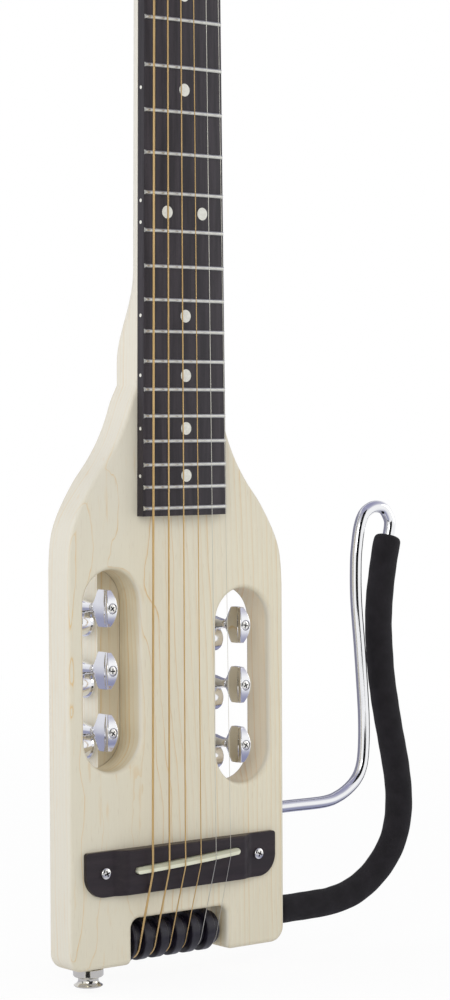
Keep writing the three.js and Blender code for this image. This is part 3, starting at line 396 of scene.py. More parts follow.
def inward_normals(loop, hole):
    sign = 1 if (turned_area(loop) > 0) != hole else -1
    normals = []
    for before, here, after in zip(loop[-1:] + loop[:-1], loop, loop[1:] + loop[:1]):
        total = Vector((0, 0))
        for a, b in ((before, here), (here, after)):
            along = Vector((b[0] - a[0], b[1] - a[1])).normalized()
            total += Vector((-along.y, along.x)) * sign
        normals.append(total * (2 / max(total.length_squared, 2)))
    return normals


def slab(name, loops, front, back, front_round, back_round, hole_round=None, steps=6):
    """A plate between two y places, from an outline and its holes, with its edges rounded over."""
    vertices, faces, first = [], [], []
    for number, loop in enumerate(loops):
        normals = inward_normals(loop, number > 0)
        rear = hole_round if number and hole_round is not None else back_round
        bend = [(1 - sin(a), 1 - cos(a)) for a in quarter(steps)]
        profile = [(front_round * low, front + front_round * high) for low, high in bend]
        profile += [(rear * high, back - rear * low) for low, high in bend]
        first.append(len(vertices))
        for inset, y in profile:
            vertices += [spot(x + n.x * inset, y, z + n.y * inset) for (x, z), n in zip(loop, normals)]
        for row in range(len(profile) - 1):
            low = first[-1] + row * len(loop)
            for i in range(len(loop)):
                j = (i + 1) % len(loop)
                faces.append((low + i, low + j, low + len(loop) + j, low + len(loop) + i))
    for row in (0, len(profile) - 1):
        index = [[at + row * len(loop) + i for i in range(len(loop))] for at, loop in zip(first, loops)]
        flat = [[Vector((vertices[i].x, vertices[i].z, 0)) for i in ring] for ring in index]
        order = [i for ring in index for i in ring]
        faces += [tuple(order[i] for i in face) for face in tessellate_polygon(flat)]
    return made_piece(name, vertices, faces)


def skinned(name, rings, strips=False):
    """A closed skin over rings of equal counts; strips close a bent last ring side to side."""
    count = len(rings[0])
    vertices = [v for ring in rings for v in ring]
    faces = [tuple(range(count))]
    last = len(vertices) - count
    if strips:
        end = last + count - 1
        faces += [(last + i, last + i + 1, end - 1 - i, end - i) for i in range(count // 2 - 1)]
    else:
        faces.append(tuple(range(last, len(vertices))))
    for low in range(0, last, count):
        for i in range(count):
            j = (i + 1) % count
            faces.append((low + i, low + j, low + count + j, low + count + i))
    return made_piece(name, vertices, faces)


def turned(name, profile, axis, centre, sides=48):
    """A turned piece: (radius, along) pairs in mm, about an axis through centre."""
    other = {"x": ("y", "z"), "y": ("x", "z"), "z": ("x", "y")}[axis]
    rings = []
    for radius, along in profile:
        ring = []
        for i in range(sides):
            a = 2 * pi * i / sides
            place = dict(zip("xyz", centre))
            place[axis] = along
            place[other[0]] += radius * cos(a)
            place[other[1]] += radius * sin(a)
            ring.append(spot(place["x"], place["y"], place["z"]))
        rings.append(ring)
    return skinned(name, rings)


def board_half(z):
    """Half the fretboard's width at z: 44.5 mm across at the nut and 52.6 at the last fret."""
    return nut_half + (nut_place - z) * board_taper


shoulder_shares = [
    (0, 0), (0.088, 0.098), (0.198, 0.186), (0.308, 0.3), (0.418, 0.455), (0.527, 0.643),
    (0.637, 0.795), (0.725, 0.895), (0.802, 0.955), (0.89, 0.986), (1, 1),
]


def shoulder(side):
    s, top = side_of[side], shoulder_top[side]
    inner = board_half(shoulder_top["bass"])
    reach = body_half - inner
    points = [(s * (inner + reach * out), top - shoulder_fall * down) for down, out in shoulder_shares]
    return [tuple(p) for p in smooth_line(points, 6)]


def body_outline():
    neck_half = board_half(shoulder_top["bass"])
    right = [
        *arc(bay_half - bay_corner, bay_top - bay_corner, bay_corner, 90, 0, 10),
        *arc(bay_half + bay_lip, tail + bay_lip, bay_lip, 180, 270, 8),
        *arc(body_half - tail_corner, tail + tail_corner, tail_corner, 270, 360, 14),
    ]
    left = [(-x, z) for x, z in right[::-1]]
    sides = [*shoulder("bass"), *left, *right, *shoulder("treble")[::-1]]
    return [(-neck_half, heel_bottom), *sides, (neck_half, heel_bottom)]


def slot_outline(side):
    x, z = side_of[side] * slot_out, slot_middle[side]
    return [*arc(x, z - slot_run, slot_round, 0, -180, 36), *arc(x, z + slot_run, slot_round, 180, 0, 36)]


def neck_section(z, half, depth, across, into, shy=0.0):
    """The neck cut across at z: flat front, and a back whose corners sweep across and into it."""
    corner = [(half - across * (1 - cos(a)), depth - into * (1 - sin(a))) for a in quarter(18)]
    side = [(half, 0), *corner]
    ring = side + [(-x, y) for x, y in side[::-1]]
    return [spot(x * (1 - shy / half), plate_front + shy + y * (1 - 2 * shy / depth), z) for x, y in ring]


def eased(share, low, high):
    return low + (high - low) * share * share * (3 - 2 * share)


def neck_rings():
    plate = plate_back - plate_front
    rings = []
    for z in (heel_bottom - 10, heel_bottom):
        rings.append(neck_section(z, board_half(z), plate, edge_round, edge_round, 0.02))
    for i in range(1, 29):
        share = i / 28
        z = heel_bottom + (heel_top - heel_bottom) * share
        half, depth = board_half(z), eased(share, plate, neck_depth)
        across, into = eased(share, edge_round, half - neck_flat), eased(share, edge_round, depth - neck_wall)
        rings.append(neck_section(z, half, depth, across, into))
    for i in range(1, 13):
        z = heel_top + (nut_place - heel_top) * i / 12
        depth = neck_depth + (nut_depth - neck_depth) * i / 12
        rings.append(neck_section(z, board_half(z), depth, board_half(z) - neck_flat, depth - neck_wall))
    for i in range(1, 11):
        share = i / 10
        across = eased(share, nut_half - neck_flat, head_side)
        into = eased(share, nut_depth - neck_wall, head_side)
        depth = eased(share, nut_depth, head_depth)
        rings.append(neck_section(nut_place + head_rise * share, nut_half, depth, across, into))
    for a in quarter(8):
        inset = head_round * (1 - cos(a))
        z = head_end - head_round * (1 - sin(a))
        sweep = head_side - inset
        rings.append(neck_section(z, nut_half - inset, head_depth - inset, sweep, sweep))
    return rings


def maple(name, pith_x, pith_y, pitch, slot_paint_share=0.25, seam_band_share=0.7, shaded_share=0.0, side_light_share=0.0):
    """Pale hard maple: rings round a far pith give wide flames at one side, straight lines at the other.

    The shares say how strongly the slot walls take painted light and shade, how dark the band at their back
    edge is, how much painted shade darkens the faces and how much painted light pales the sides.
    """
    material, start, place = textured(name)
    x, y, z = place.parts()
    wander = place.scaled(0.016, 0.016, 0.0062).noise(1, 2.5, 0.45) - 0.5
    wave = place.scaled(0.034, 0.034, 0.017).noise(1, 2, 0.5) - 0.5
    ripple = place.scaled(0.16, 0.16, 0.05).noise(1, 2, 0.5) - 0.5
    calm = x.between(-30, 30)
    out_x = x - pith_x
    out_y = y - pith_y - z * 0.02
    straight = (out_x * out_x + out_y * out_y).math("SQRT")
    radius = straight + wander * (16 - calm * 11) + wave * (3.6 - calm * 2.8) + ripple * (0.9 - calm * 0.45)
    # The rings' spacing on the face in view: narrow lines stay narrow where the cut runs flat.
    facing = start.node("ShaderNodeNewGeometry", out="Normal").parts()
    slope = (out_x * facing[0] + out_y * facing[1]) / straight
    spread = (1 - slope * slope).math("MAXIMUM", 0.012).math("SQRT")
    rings = radius / pitch
    spacing = pitch / spread
    to_line = (1 - rings.math("FRACT")) * spacing
    crisp = 1 - to_line.between(0.12, 0.75)
    trail = 1 - to_line.between(0.0, 2.1)
    odd = start.node("ShaderNodeTexWhiteNoise", {"noise_dimensions": "1D"}, {"W": rings.math("FLOOR")})
    strong = odd ** 1.6 * 0.9 + 0.22
    patchy = place.scaled(0.07, 0.07, 0.016).noise(1, 2, 0.5).between(0.3, 0.66)
    broken = place.scaled(0.5, 0.5, 0.11).noise(1, 2, 0.6).between(0.25, 0.6) * 0.6 + 0.4
    fibre = place.scaled(1.3, 1.3, 0.05).noise(1, 3, 0.6)
    cloud = place.scaled(0.03, 0.03, 0.012).noise(1, 2, 0.5)
    fleck = place.scaled(1.6, 1.6, 0.16).noise(1, 1, 0.4).between(0.62, 0.78)
    wide = spacing.between(3.2, 7.5)
    behind = y + back_face
    inside = behind.between(7.0, 10.0) * (1 - x.math("ABSOLUTE").between(60, 64)) * (1 - z.between(0, 20))
    weight = (patchy * 0.75 + 0.5) * (1.3 - calm * 0.35 + inside * 0.9)
    amount = (crisp * (wide * 0.8 + 0.5) * broken + trail * (0.32 - wide * 0.2)) * strong * weight
    smear = place.scaled(0.3, 0.3, 0.04).noise(1, 2, 0.5).between(0.62, 0.76) * (1 - calm)
    ground = cloud.between(0.3, 0.7).blend((0.752, 0.703, 0.575), (0.712, 0.660, 0.527))
    # Painted shade: the bass side of the wood is darkened, as if less light falls on it.
    bass_side_painted_shade = ((1 - x.between(-52, -12)) * 0.95).blend(ground, (0.660, 0.620, 0.520))
    low_end = ((1 - z.between(-30, 70)) * 0.45).blend(bass_side_painted_shade, (0.700, 0.645, 0.480))
    grained = (fibre.between(0.35, 0.7) * (calm * 0.14 + 0.14)).blend(low_end, (0.62, 0.555, 0.42))
    lined = (amount + smear * 0.4).math("MINIMUM", 1.0).blend(grained, (0.66, 0.485, 0.25))
    flecked = (fleck * 0.2).blend(lined, (0.46, 0.36, 0.23))
    # Painted light and shade in the slots: the walls take a deep warm tone, as of shade and bounced light,
    # and the treble slot's outer wall a pale pink tone, as if lit.
    slot_wall_painted_tone = x.between(36, 48).blend((0.52, 0.405, 0.205), (0.95, 0.77, 0.55))
    slot_painted_light_and_shade = (inside * (x.between(36, 48) * 0.2 + 1) * slot_paint_share).blend(flecked, slot_wall_painted_tone)
    # A thin dark band along the back edge of the slot walls, where the plate meets the block.
    seam_dark_band = behind.between(23.2, 23.7) * inside * seam_band_share
    walled = seam_dark_band.blend(slot_painted_light_and_shade, (0.20, 0.14, 0.075))
    sideways = facing[0].math("ABSOLUTE").between(0.5, 0.9)
    shaded = ((1 - sideways) * shaded_share).blend(walled, (0.50, 0.375, 0.20))
    # Painted light: faces that look sideways are paled, as on the block's sides lit from the left.
    side_painted_light = (sideways * side_light_share).blend(shaded, (1.0, 0.97, 0.86))
    # Painted light: the sides of body and neck outside the slots take a greyer, cooler tone, as in side
    # light.
    side_painted_cool_light = sideways * (1 - inside) * (z.between(90, 170) * 0.35 + 0.45) * (1 - side_light_share)
    maple_with_painted_light = side_painted_cool_light.blend(side_painted_light, (0.690, 0.668, 0.606))
    rough = fibre * 0.14 + 0.42
    normal = (fibre * 0.6 + crisp * 0.3).bump(0.14, 0.0001)
    sealer = {"Coat Weight": 0.10, "Coat Roughness": 0.4}
    start.surface({"Base Color": maple_with_painted_light, "Roughness": rough, "Normal": normal, **sealer})
    return material


body_maple = maple("maple_blank", -40, 30, 2.5)
body_loops = [body_outline(), slot_outline("bass"), slot_outline("treble")]
body_blank = slab("body_blank", body_loops, plate_front, plate_back, edge_round, edge_round, 0.25)
carved(body_blank, [skinned("neck_shape", neck_rings())], "UNION")
leg_y, upper_socket, lower_socket = 14.6, 17.1, -36.8
socket_end, socket_radius = 40.2, 3.45
roller_y, roller_z = 16.3, -40.6
axle_bore, axle_half = 3.3, 34.8
jack_x, jack_bore, jack_top = -51, 5.9, -21
truss_half, truss_top, truss_bottom = 3.3, plate_front - 1.2, 14.6
overrun = 1.8
socket_profile = [(socket_radius, socket_end), (socket_radius, body_half + overrun)]
truss_corners = [
    (-truss_half, truss_top), (truss_half, truss_top),
    (truss_half, truss_bottom), (-truss_half, truss_bottom),
]
carved(body_blank, [
    turned("upper_socket", socket_profile, "x", (0, leg_y, upper_socket), 40),
    turned("lower_socket", socket_profile, "x", (0, leg_y, lower_socket), 40),
    turned("axle_bore", [(axle_bore, -axle_half), (axle_bore, axle_half)], "x", (0, roller_y, roller_z), 40),
    turned("jack_bore", [(jack_bore, tail - overrun), (jack_bore, jack_top)], "z", (jack_x, leg_y, 0), 48),
    skinned("rod_channel", [[spot(x, y, z) for x, y in truss_corners] for z in (200, 662)]),
])
softened(body_blank)
dressed(body_blank, body_maple, "instrument", "maple", "neck_body")

# Rear block: a second piece of maple glued flat behind the plate. It holds the tuners on its side
# faces and leaves a channel for the strings between two rails.
block_half, block_top, block_corner = 37.5, 190, 12
channel_half, channel_top, channel_corner = 26.075, 132, 6
seam = 0.02
lip_depth = 1.1


def channel_edge(step):
    """The string channel's edge, set inwards by a step, from the bass side round to the treble side."""
    half, corner = channel_half - step, channel_corner
    x, z = half - corner, channel_top - step - corner
    foot_z = 2.0 - half
    return [(-half, foot_z), *arc(-x, z, corner, 180, 90, 10), *arc(x, z, corner, 90, 0, 10), (half, foot_z)]


corner_x, corner_z = block_half - block_corner, block_top - block_corner
block_outline = [
    (-block_half, tail), (-bay_half, tail), (-bay_half, bay_top), *channel_edge(0),
    (bay_half, bay_top), (bay_half, tail), (block_half, tail),
    *arc(corner_x, corner_z, block_corner, 0, 90, 16), *arc(-corner_x, corner_z, block_corner, 90, 180, 16),
]
rear_block = slab("rear_block_wood", [block_outline], plate_back + seam, back_face, seam, 1.2)
lip_loop = [*channel_edge(2.975), *((x, z + 1.0) for x, z in channel_edge(-2.0)[::-1])]
lip_places = (plate_back + 0.03, plate_back + lip_depth)
channel_lip = skinned("channel_lip", [[spot(x, y, z) for x, z in lip_loop] for y in lip_places])
carved(rear_block, [channel_lip], "UNION")
tuner_post_y, post_drop, key_step = 33.0, 8.1, 30.9
tuners = [(side, slot_middle[side] - side_of[side] * key_step * k) for side in side_of for k in (-1, 0, 1)]
post_holes = []
for side, z in tuners:
    hole = sorted((3.4, side_of[side] * x) for x in (25, 39))
    post_holes.append(turned("post_hole", hole, "x", (0, tuner_post_y, z - post_drop), 32))
carved(rear_block, post_holes)
softened(rear_block)
block_maple = maple("maple_block", 30, 70, 2.7, 0.0, 0.0, 0.3, 0.5)
dressed(rear_block, block_maple, "instrument", "maple", "rear_block")

# Truss rod: a steel rod in a channel under the fretboard that holds the neck straight against the
# strings, with its hex nut at the head end.
def metal(name, color, rough, scratch, grime=0.0, stretch=(1, 1, 1), metallic=1.0):
    """Metal with fine wear: roughness and tone drift a little, and hairlines catch the light."""
    material, start, place = textured(name)
    drift = place.noise(0.12, 3, 0.55)
    hairs = place.scaled(*stretch).noise(1, 3, 0.7)
    toned = (drift.between(0.35, 0.75) * grime).blend(color, [c * 0.55 for c in color])
    roughness = drift * 0.05 + hairs * 0.06 + (rough - 0.05)
    normal = hairs.bump(scratch, 0.00002)
    start.surface({"Base Color": toned, "Metallic": metallic, "Roughness": roughness, "Normal": normal})
    return material


def repaint(node, material):
    """A better material on a CAD node whose shape stays."""
    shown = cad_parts[node]
    shown.data.materials.clear()
    shown.data.materials.append(material)


repaint("truss_rod", metal("plain_steel", (0.56, 0.56, 0.57), 0.32, 0.2, 0.3, (2, 2, 0.05)))


# Fretboard: a strip of dark rosewood, planed to a crown and glued on the neck. It widens from the
# nut to the last fret and overhangs the body's face.
crown_radius, crown_edge = 305.0, 26.3
board_back = plate_front - 0.01
board_overhang = 4


def crown(x):
    return (x * x - crown_edge * crown_edge) / (2 * crown_radius)


def board_ring(z):
    half = board_half(z)
    middle, edge = crown(0), crown(half)
    across = [1 - 2 * i / 24 for i in range(25)]
    face = [(half * share, middle + (edge - middle) * share * share) for share in across]
    return [spot(x, y, z) for x, y in [(half, board_back), *face, (-half, board_back)]]


def dark_wood(name, deep, light, streak, top_light_share=0.0):
    """Oiled rosewood: streaks along the grain, short open pores, and faces that look up painted lighter, as
    if lit from above.
    """
    material, start, place = textured(name)
    bands = place.scaled(*streak).noise(1, 4, 0.6)
    fine = place.scaled(*(s * 6 for s in streak)).noise(1, 3, 0.65)
    pores = place.scaled(*(s * 14 for s in streak)).noise(1, 2, 0.5).between(0.58, 0.74)
    toned = (bands.between(0.3, 0.75) * 0.7 + fine * 0.3).blend(deep, light)
    pored = (pores * 0.6).blend(toned, (0.012, 0.009, 0.009))
    upward = start.node("ShaderNodeNewGeometry", out="Normal").parts()[2].between(0.62, 0.92)
    # Painted light: faces that look up take a lighter brown.
    top_painted_light = (upward * top_light_share).blend(pored, (0.085, 0.062, 0.042))
    rough = fine * 0.2 + pores * 0.15 + 0.38
    normal = (fine * 0.5 - pores).bump(0.35, 0.00008)
    start.surface({"Base Color": top_painted_light, "Roughness": rough, "Normal": normal, "Specular IOR Level": 0.35})
    return material


board_end = last_fret - board_overhang
board_places = [board_end + (nut_place - board_end) * i / 24 for i in range(25)]
fretboard_wood = softened(skinned("fretboard_wood", [board_ring(z) for z in board_places]), 0.25)
board_deep, board_light = (0.0105, 0.0082, 0.0118), (0.045, 0.0362, 0.0445)
board_wood = dark_wood("board_rosewood", board_deep, board_light, (0.35, 0.35, 0.018))
dressed(fretboard_wood, board_wood, "instrument", "board_wood", "fretboard")


def grown(name, base, sockets, build):
    """Runs a geometry-node tree on a base object and keeps the mesh that it makes."""
    tree = bpy.data.node_groups.new(name + "_rule", "GeometryNodeTree")
    tree.interface.new_socket("Geometry", in_out="OUTPUT", socket_type="NodeSocketGeometry")
    tree.interface.new_socket("Geometry", in_out="INPUT", socket_type="NodeSocketGeometry")
    known = {}
    for label, value in sockets.items():
        kind = {int: "NodeSocketInt", float: "NodeSocketFloat"}.get(type(value), "NodeSocketMaterial")
        known[label] = tree.interface.new_socket(label, in_out="INPUT", socket_type=kind)
    given = tree.nodes.new("NodeGroupInput")
    start = Wire(tree)
    inputs = {output.name: Wire(tree, output) for output in given.outputs if output.name}
    shape = build(start, inputs)
    real = start.node("GeometryNodeRealizeInstances", sockets={"Geometry": shape})
    finish = {"Geometry": real, "Material": inputs["Material"]}
    painted = start.node("GeometryNodeSetMaterial", sockets=finish)
    start.node("NodeGroupOutput", sockets={0: painted})
    rule = base.modifiers.new("rule", "NODES")
    rule.node_group = tree
    for label, socket in known.items():
        rule[socket.identifier] = sockets[label]
    mesh = evaluated_mesh(base)
    bpy.data.objects.remove(base)
    return linked(name, mesh)


def points_base(name, vertices=()):
    mesh = bpy.data.meshes.new(name)
    mesh.from_pydata(list(vertices), [], [])
    return linked(name, mesh)


# Frets: 22 bars of nickel silver wire, pressed in at the twelfth-root-of-two places, bent to the
# crown, cut flush with the board and bevelled at their ends.
def fret_rule(start, given):
    bar = start.node(
        "GeometryNodeMeshCylinder", {"fill_type": "NGON"},
        {"Vertices": 20, "Side Segments": 24, "Radius": 1.0, "Depth": 2.0},
    )
    kept = start.node(
        "GeometryNodeStoreNamedAttribute", {"data_type": "FLOAT_VECTOR", "domain": "POINT"},
        {"Geometry": bar, "Name": "bar", "Value": start.node("GeometryNodeInputPosition")},
    )
    number = start.node("GeometryNodeInputIndex") + 1.0
    height = given["Scale Length"] * 2.0 ** (number * (-1 / 12))
    line = start.node("GeometryNodeMeshLine", sockets={"Count": given["Frets"], "Offset": (0, 0, 0)})
    heights = start.joined(0.0, 0.0, height)
    placed = start.node("GeometryNodeSetPosition", sockets={"Geometry": line, "Position": heights})
    copies = start.node("GeometryNodeInstanceOnPoints", sockets={"Points": placed, "Instance": kept})
    real = start.node("GeometryNodeRealizeInstances", sockets={"Geometry": copies})
    local = start.node("GeometryNodeInputNamedAttribute", {"data_type": "FLOAT_VECTOR"}, {"Name": "bar"})
    across, up, along = local.parts()
    here = start.node("GeometryNodeInputPosition").parts()[2] - along
    half = given["Nut Half Width"] + (given["Scale Length"] - here) * given["Taper"]
    crest = up.math("MAXIMUM", 0.0) * given["Fret Height"]
    root = up.math("MINIMUM", 0.0) * given["Fret Height"] * 0.5
    bevel = along.math("ABSOLUTE").between(0.95, 1.0) * along * crest * 0.55
    x = along * (half - given["End Gap"]) - bevel
    middle = given["Crown Edge"] * given["Crown Edge"] * -0.5 / given["Crown Radius"]
    y = middle + x * x * 0.5 / given["Crown Radius"] - crest - root + given["Board Place"]
    z = here + across * given["Fret Width"] * 0.5 + given["Base Height"]
    bent = start.joined(x, y, z)
    return start.node("GeometryNodeSetPosition", sockets={"Geometry": real, "Position": bent})


fret_nickel = metal("fret_nickel", (0.60, 0.60, 0.56), 0.30, 0.25, 0.15, (0.08, 3, 3))
fret_sizes = {
    "Frets": fret_count, "Scale Length": nut_place * mm, "Nut Half Width": nut_half * mm,
    "Taper": board_taper, "Crown Radius": crown_radius * mm, "Crown Edge": crown_edge * mm,
    "Fret Width": 2.2 * mm, "Fret Height": 1.0 * mm, "End Gap": 0.15 * mm,
    "Board Place": -back_face * mm, "Base Height": -rest_height * mm, "Material": fret_nickel,
}
frets = grown("frets", points_base("fret_base"), fret_sizes, fret_rule)
frets.data.shade_smooth()
frets.data.set_sharp_from_angle(angle=radians(48))
dressed(frets, fret_nickel, "instrument", "nickel", "fretboard")

# Position dots: pearl-white plastic discs let flush into the board's face, and small ones in the
# bass side of the board where the player sees them.
def dot_rule(start, given):
    sizes = {"Vertices": 40, "Side Segments": 1, "Fill Segments": 3}
    sizes |= {"Radius": given["Radius"], "Depth": given["Depth"]}
    disc = start.node("GeometryNodeMeshCylinder", {"fill_type": "TRIANGLE_FAN"}, sizes)
    lean = start.node("GeometryNodeInputPosition").parts()[0] * given["Bow"]
    turn = start.joined(given["Turn X"], given["Turn Y"], lean)
    points = start.node("GeometryNodeMeshToPoints", sockets={"Mesh": given["Geometry"]})
    copies = {"Points": points, "Instance": disc, "Rotation": turn}
    return start.node("GeometryNodeInstanceOnPoints", sockets=copies)


def between_frets(n):
    return nut_place * (2 ** (-(n - 1) / 12) + 2 ** (-n / 12)) / 2


pearl_white, start, place = textured("pearl_white")
swirl = place.noise(0.9, 4, 0.6)
start.surface({
    "Base Color": swirl.between(0.3, 0.7).blend((0.77, 0.765, 0.70), (0.65, 0.64, 0.575)),
    "Roughness": swirl * 0.12 + 0.2,
})
single_dots = (3, 5, 7, 9, 15, 17, 19, 21)
octave = between_frets(12)
dot_depth, dot_pair_half, dot_sink = 0.4, 11, 0.14
side_dot_y, side_pair_half, side_sink = 2.6, 5.4, 0.17
face_places = [(0, between_frets(n)) for n in single_dots] + [(s * dot_pair_half, octave) for s in (-1, 1)]
side_places = [between_frets(n) for n in single_dots] + [octave + s * side_pair_half for s in (-1, 1)]
face_spots = [spot(x, crown(x) + dot_sink, z) for x, z in face_places]
side_spots = [spot(side_sink - board_half(z), side_dot_y, z) for z in side_places]
dot_rows = [
    ("face_dots", face_spots, 3.18, pi / 2, 0.0, 1 / (crown_radius * mm), 0.05),
    ("side_dots", side_spots, 0.9, 0.0, pi / 2, 0.0, 0.04),
]
for name, places, radius, turn_x, turn_y, bow, bevel in dot_rows:
    sizes = {"Radius": radius * mm, "Depth": dot_depth * mm, "Turn X": turn_x, "Turn Y": turn_y, "Bow": bow}
    dots = grown(name, points_base(name + "_places", places), {**sizes, "Material": pearl_white}, dot_rule)
    softened(dots, bevel)
    dressed(dots, pearl_white, "instrument", "bone_white", "fretboard")

# Nut: a strip of polished bone across the end of the board, crowned like it, with a filed notch
# for each string.
string_sizes = [1.35, 1.07, 0.81, 0.61, 0.41, 0.30]
nut_pitch, bridge_pitch = 7.3, 9.9
nut_front, nut_back = 628.85, 633.25
nut_crest, string_lift, notch_room = 0.8, 1.45, 0.2


def string_x(i, pitch):
    return (i - 2.5) * pitch


def nut_y(x):
    return crown(0) + (crown(nut_half) - crown(0)) * (x / nut_half) ** 2 - string_lift


def nut_ring(z):
    across = [nut_half * (2 * i / 24 - 1) for i in range(25)]
    ring = [(nut_half, board_back), (-nut_half, board_back), *((x, nut_y(x) - nut_crest) for x in across)]
    return [spot(x, y, z) for x, y in ring]


def bone(name, bright, deep, rear=None):
    """Polished bone; a rear tone paints shade on the saddle's sloped rear half, darker than its crown."""
    material, start, place = textured(name)
    cloud = place.noise(0.25, 3, 0.5)
    grain = place.scaled(0.12, 1.5, 1.5).noise(1, 3, 0.6)
    toned = (cloud * 0.6 + grain * 0.4).blend(bright, deep)
    # Painted shade: the saddle's sloped strip towards the nut is darkened to the rear tone.
    if rear:
        x, _, z = place.parts()
        toned = ((z + 162.5) - x * 0.0545).between(-0.1, 0.35).blend(toned, rear)
    start.surface({
        "Base Color": toned,
        "Roughness": grain * 0.12 + 0.26,
        "Normal": grain.bump(0.08, 0.00005),
        "Subsurface Weight": 0.05,
    })
    return material


nut_strip = skinned("nut_strip", [nut_ring(nut_front), nut_ring(nut_back)])
nut_cuts = []
for i, size in enumerate(string_sizes):
    x = string_x(i, nut_pitch)
    floor, wide = nut_y(x) + notch_room, size / 2 + notch_room
    half_notch = [(wide, floor - 6), (wide, floor - wide), (wide * 0.5, floor)]
    notch = [*half_notch, *((-a, b) for a, b in half_notch[::-1])]
    nut_cuts.append(skinned("nut_cut", [[spot(x + a, b, z) for a, b in notch] for z in (620, 640)]))
carved(nut_strip, nut_cuts)
softened(nut_strip, 0.18)
polished_bone = bone("polished_bone", (0.80, 0.81, 0.66), (0.70, 0.70, 0.53))
dressed(nut_strip, polished_bone, "instrument", "bone_white", "nut")

# Bridge: dark rosewood with thin wings and a thick middle, scooped where the two meet, glued and
# screwed to the plate through each wing.
bridge_half, bridge_wing, bridge_middle = 60, 2.3, 6.4
bridge_top_z, bridge_low_z = 7.5, -15.2
ear_round, wing_round = 1.5, 11
scoop_start, scoop_run = 36.0, 8.5
ear_x, ear_z = bridge_half - ear_round, bridge_top_z - ear_round
wing_x, wing_z = bridge_half - wing_round, bridge_low_z + wing_round
bridge_outline = [
    *arc(-ear_x, ear_z, ear_round, 90, 180, 6), *arc(-wing_x, wing_z, wing_round, 180, 270, 18),
    *arc(wing_x, wing_z, wing_round, 270, 360, 18), *arc(ear_x, ear_z, ear_round, 0, 90, 6),
]
bridge_block = slab("bridge_rosewood", [bridge_outline], plate_front - 8, board_back, 0.01, 0.01)


def bridge_top(x, fall):
    """The bridge's face at x: a thick middle, lowered by fall at the long edges, and a scoop to each wing."""
    scoop = min(max(abs(x) - scoop_start, 0.0) / scoop_run, 1.0)
    hump = (bridge_middle - bridge_wing - fall) * (1 - scoop) ** 2 * (1 + 2 * scoop)
    return plate_front - bridge_wing - hump


scoop_places = [scoop_start - 0.1 + (scoop_run + 0.2) * k / 24 for k in range(25)]
bridge_stations = sorted(s * x for s in (-1, 1) for x in (50, bridge_half + 1, *scoop_places))


def bridge_ring(z, fall):
    end = bridge_half + 1
    face = [(x, bridge_top(x, fall)) for x in bridge_stations]
    return [spot(x, y, z) for x, y in [(-end, 9), *face, (end, 9)]]


bridge_levels = [
    (bridge_low_z - 0.8, 2.2), (bridge_low_z, 1.8), (-13, 0.85), (-10.7, 0.0), (6.7, 0.0),
    (bridge_top_z, 0.8), (bridge_top_z + 1, 1.8),
]
bridge_form = skinned("bridge_form", [bridge_ring(z, fall) for z, fall in bridge_levels])
carved(bridge_block, [bridge_form], "INTERSECT")
saddle_lean, saddle_place = 2.7 / 49.5, -1.5
saddle_slant = atan(saddle_lean)


def slanted(x, y, z):
    """A place on the slanted saddle, from its own length, height and thickness."""
    c, s = cos(saddle_slant), sin(saddle_slant)
    return spot(x * c - z * s, y, x * s + z * c + saddle_place)


def rounded_bar(half, thick, low, high):
    """A bar with round ends on the saddle's line, between two heights."""
    loop = [*arc(half - thick, 0, thick, -90, 90, 10), *arc(thick - half, 0, thick, 90, 270, 10)]
    return [[slanted(x, y, z) for x, z in loop] for y in (low, high)]


saddle_half, saddle_thick, slot_long, slot_wide = 32.6, 1.7, 0.7, 0.25
slot_bars = rounded_bar(saddle_half + slot_long, saddle_thick + slot_wide, -4, 3.8)
carved(bridge_block, [skinned("saddle_slot", slot_bars)])
softened(bridge_block, 0.45, 34)
bridge_deep, bridge_light = (0.0130, 0.0085, 0.0118), (0.027, 0.0175, 0.0215)
bridge_wood = dark_wood("bridge_rosewood_finish", bridge_deep, bridge_light, (0.02, 0.4, 0.4), 0.8)
dressed(bridge_block, bridge_wood, "instrument", "bridge_wood", "bridge")

# Saddle: a slanted bone strip that stands in the bridge's slot over the pickup strip, a thin foil
# sandwich that turns the strings' push into a signal.
saddle_edge, saddle_rise, saddle_seat = 24.75, 4.3, 0.875


def saddle_y(x):
    return crown(x) - crown(saddle_edge) - saddle_rise


saddle_section = [
    (-saddle_thick, 9.0), (-saddle_thick, 0.3), (-1.62, 0.12), (-1.45, 0.0), (0.1, 0.0), (0.4, 0.06),
    (0.7, 0.22), (1.4, 0.82), (1.62, 1.1), (saddle_thick, 1.4), (saddle_thick, 9.0),
]
saddle_places = [-35 + 70 * k / 40 for k in range(41)]
saddle_rings = []
for x in saddle_places:
    base_y = saddle_y(x) + saddle_seat
    saddle_rings.append([slanted(x, base_y + y, z) for z, y in saddle_section])
saddle_strip = skinned("saddle_strip", rounded_bar(saddle_half, saddle_thick, -8, 2.5))
carved(saddle_strip, [skinned("saddle_form", saddle_rings)], "INTERSECT")
softened(saddle_strip, 0.12)
saddle_bone = bone("saddle_bone", (0.76, 0.745, 0.595), (0.69, 0.675, 0.515), (0.49, 0.475, 0.35))
dressed(saddle_strip, saddle_bone, "instrument", "bone_white", "saddle")
repaint("pickup_strip", metal("pickup_foil", (0.62, 0.62, 0.6), 0.4, 0.3, 0.3, (0.5, 2, 2)))


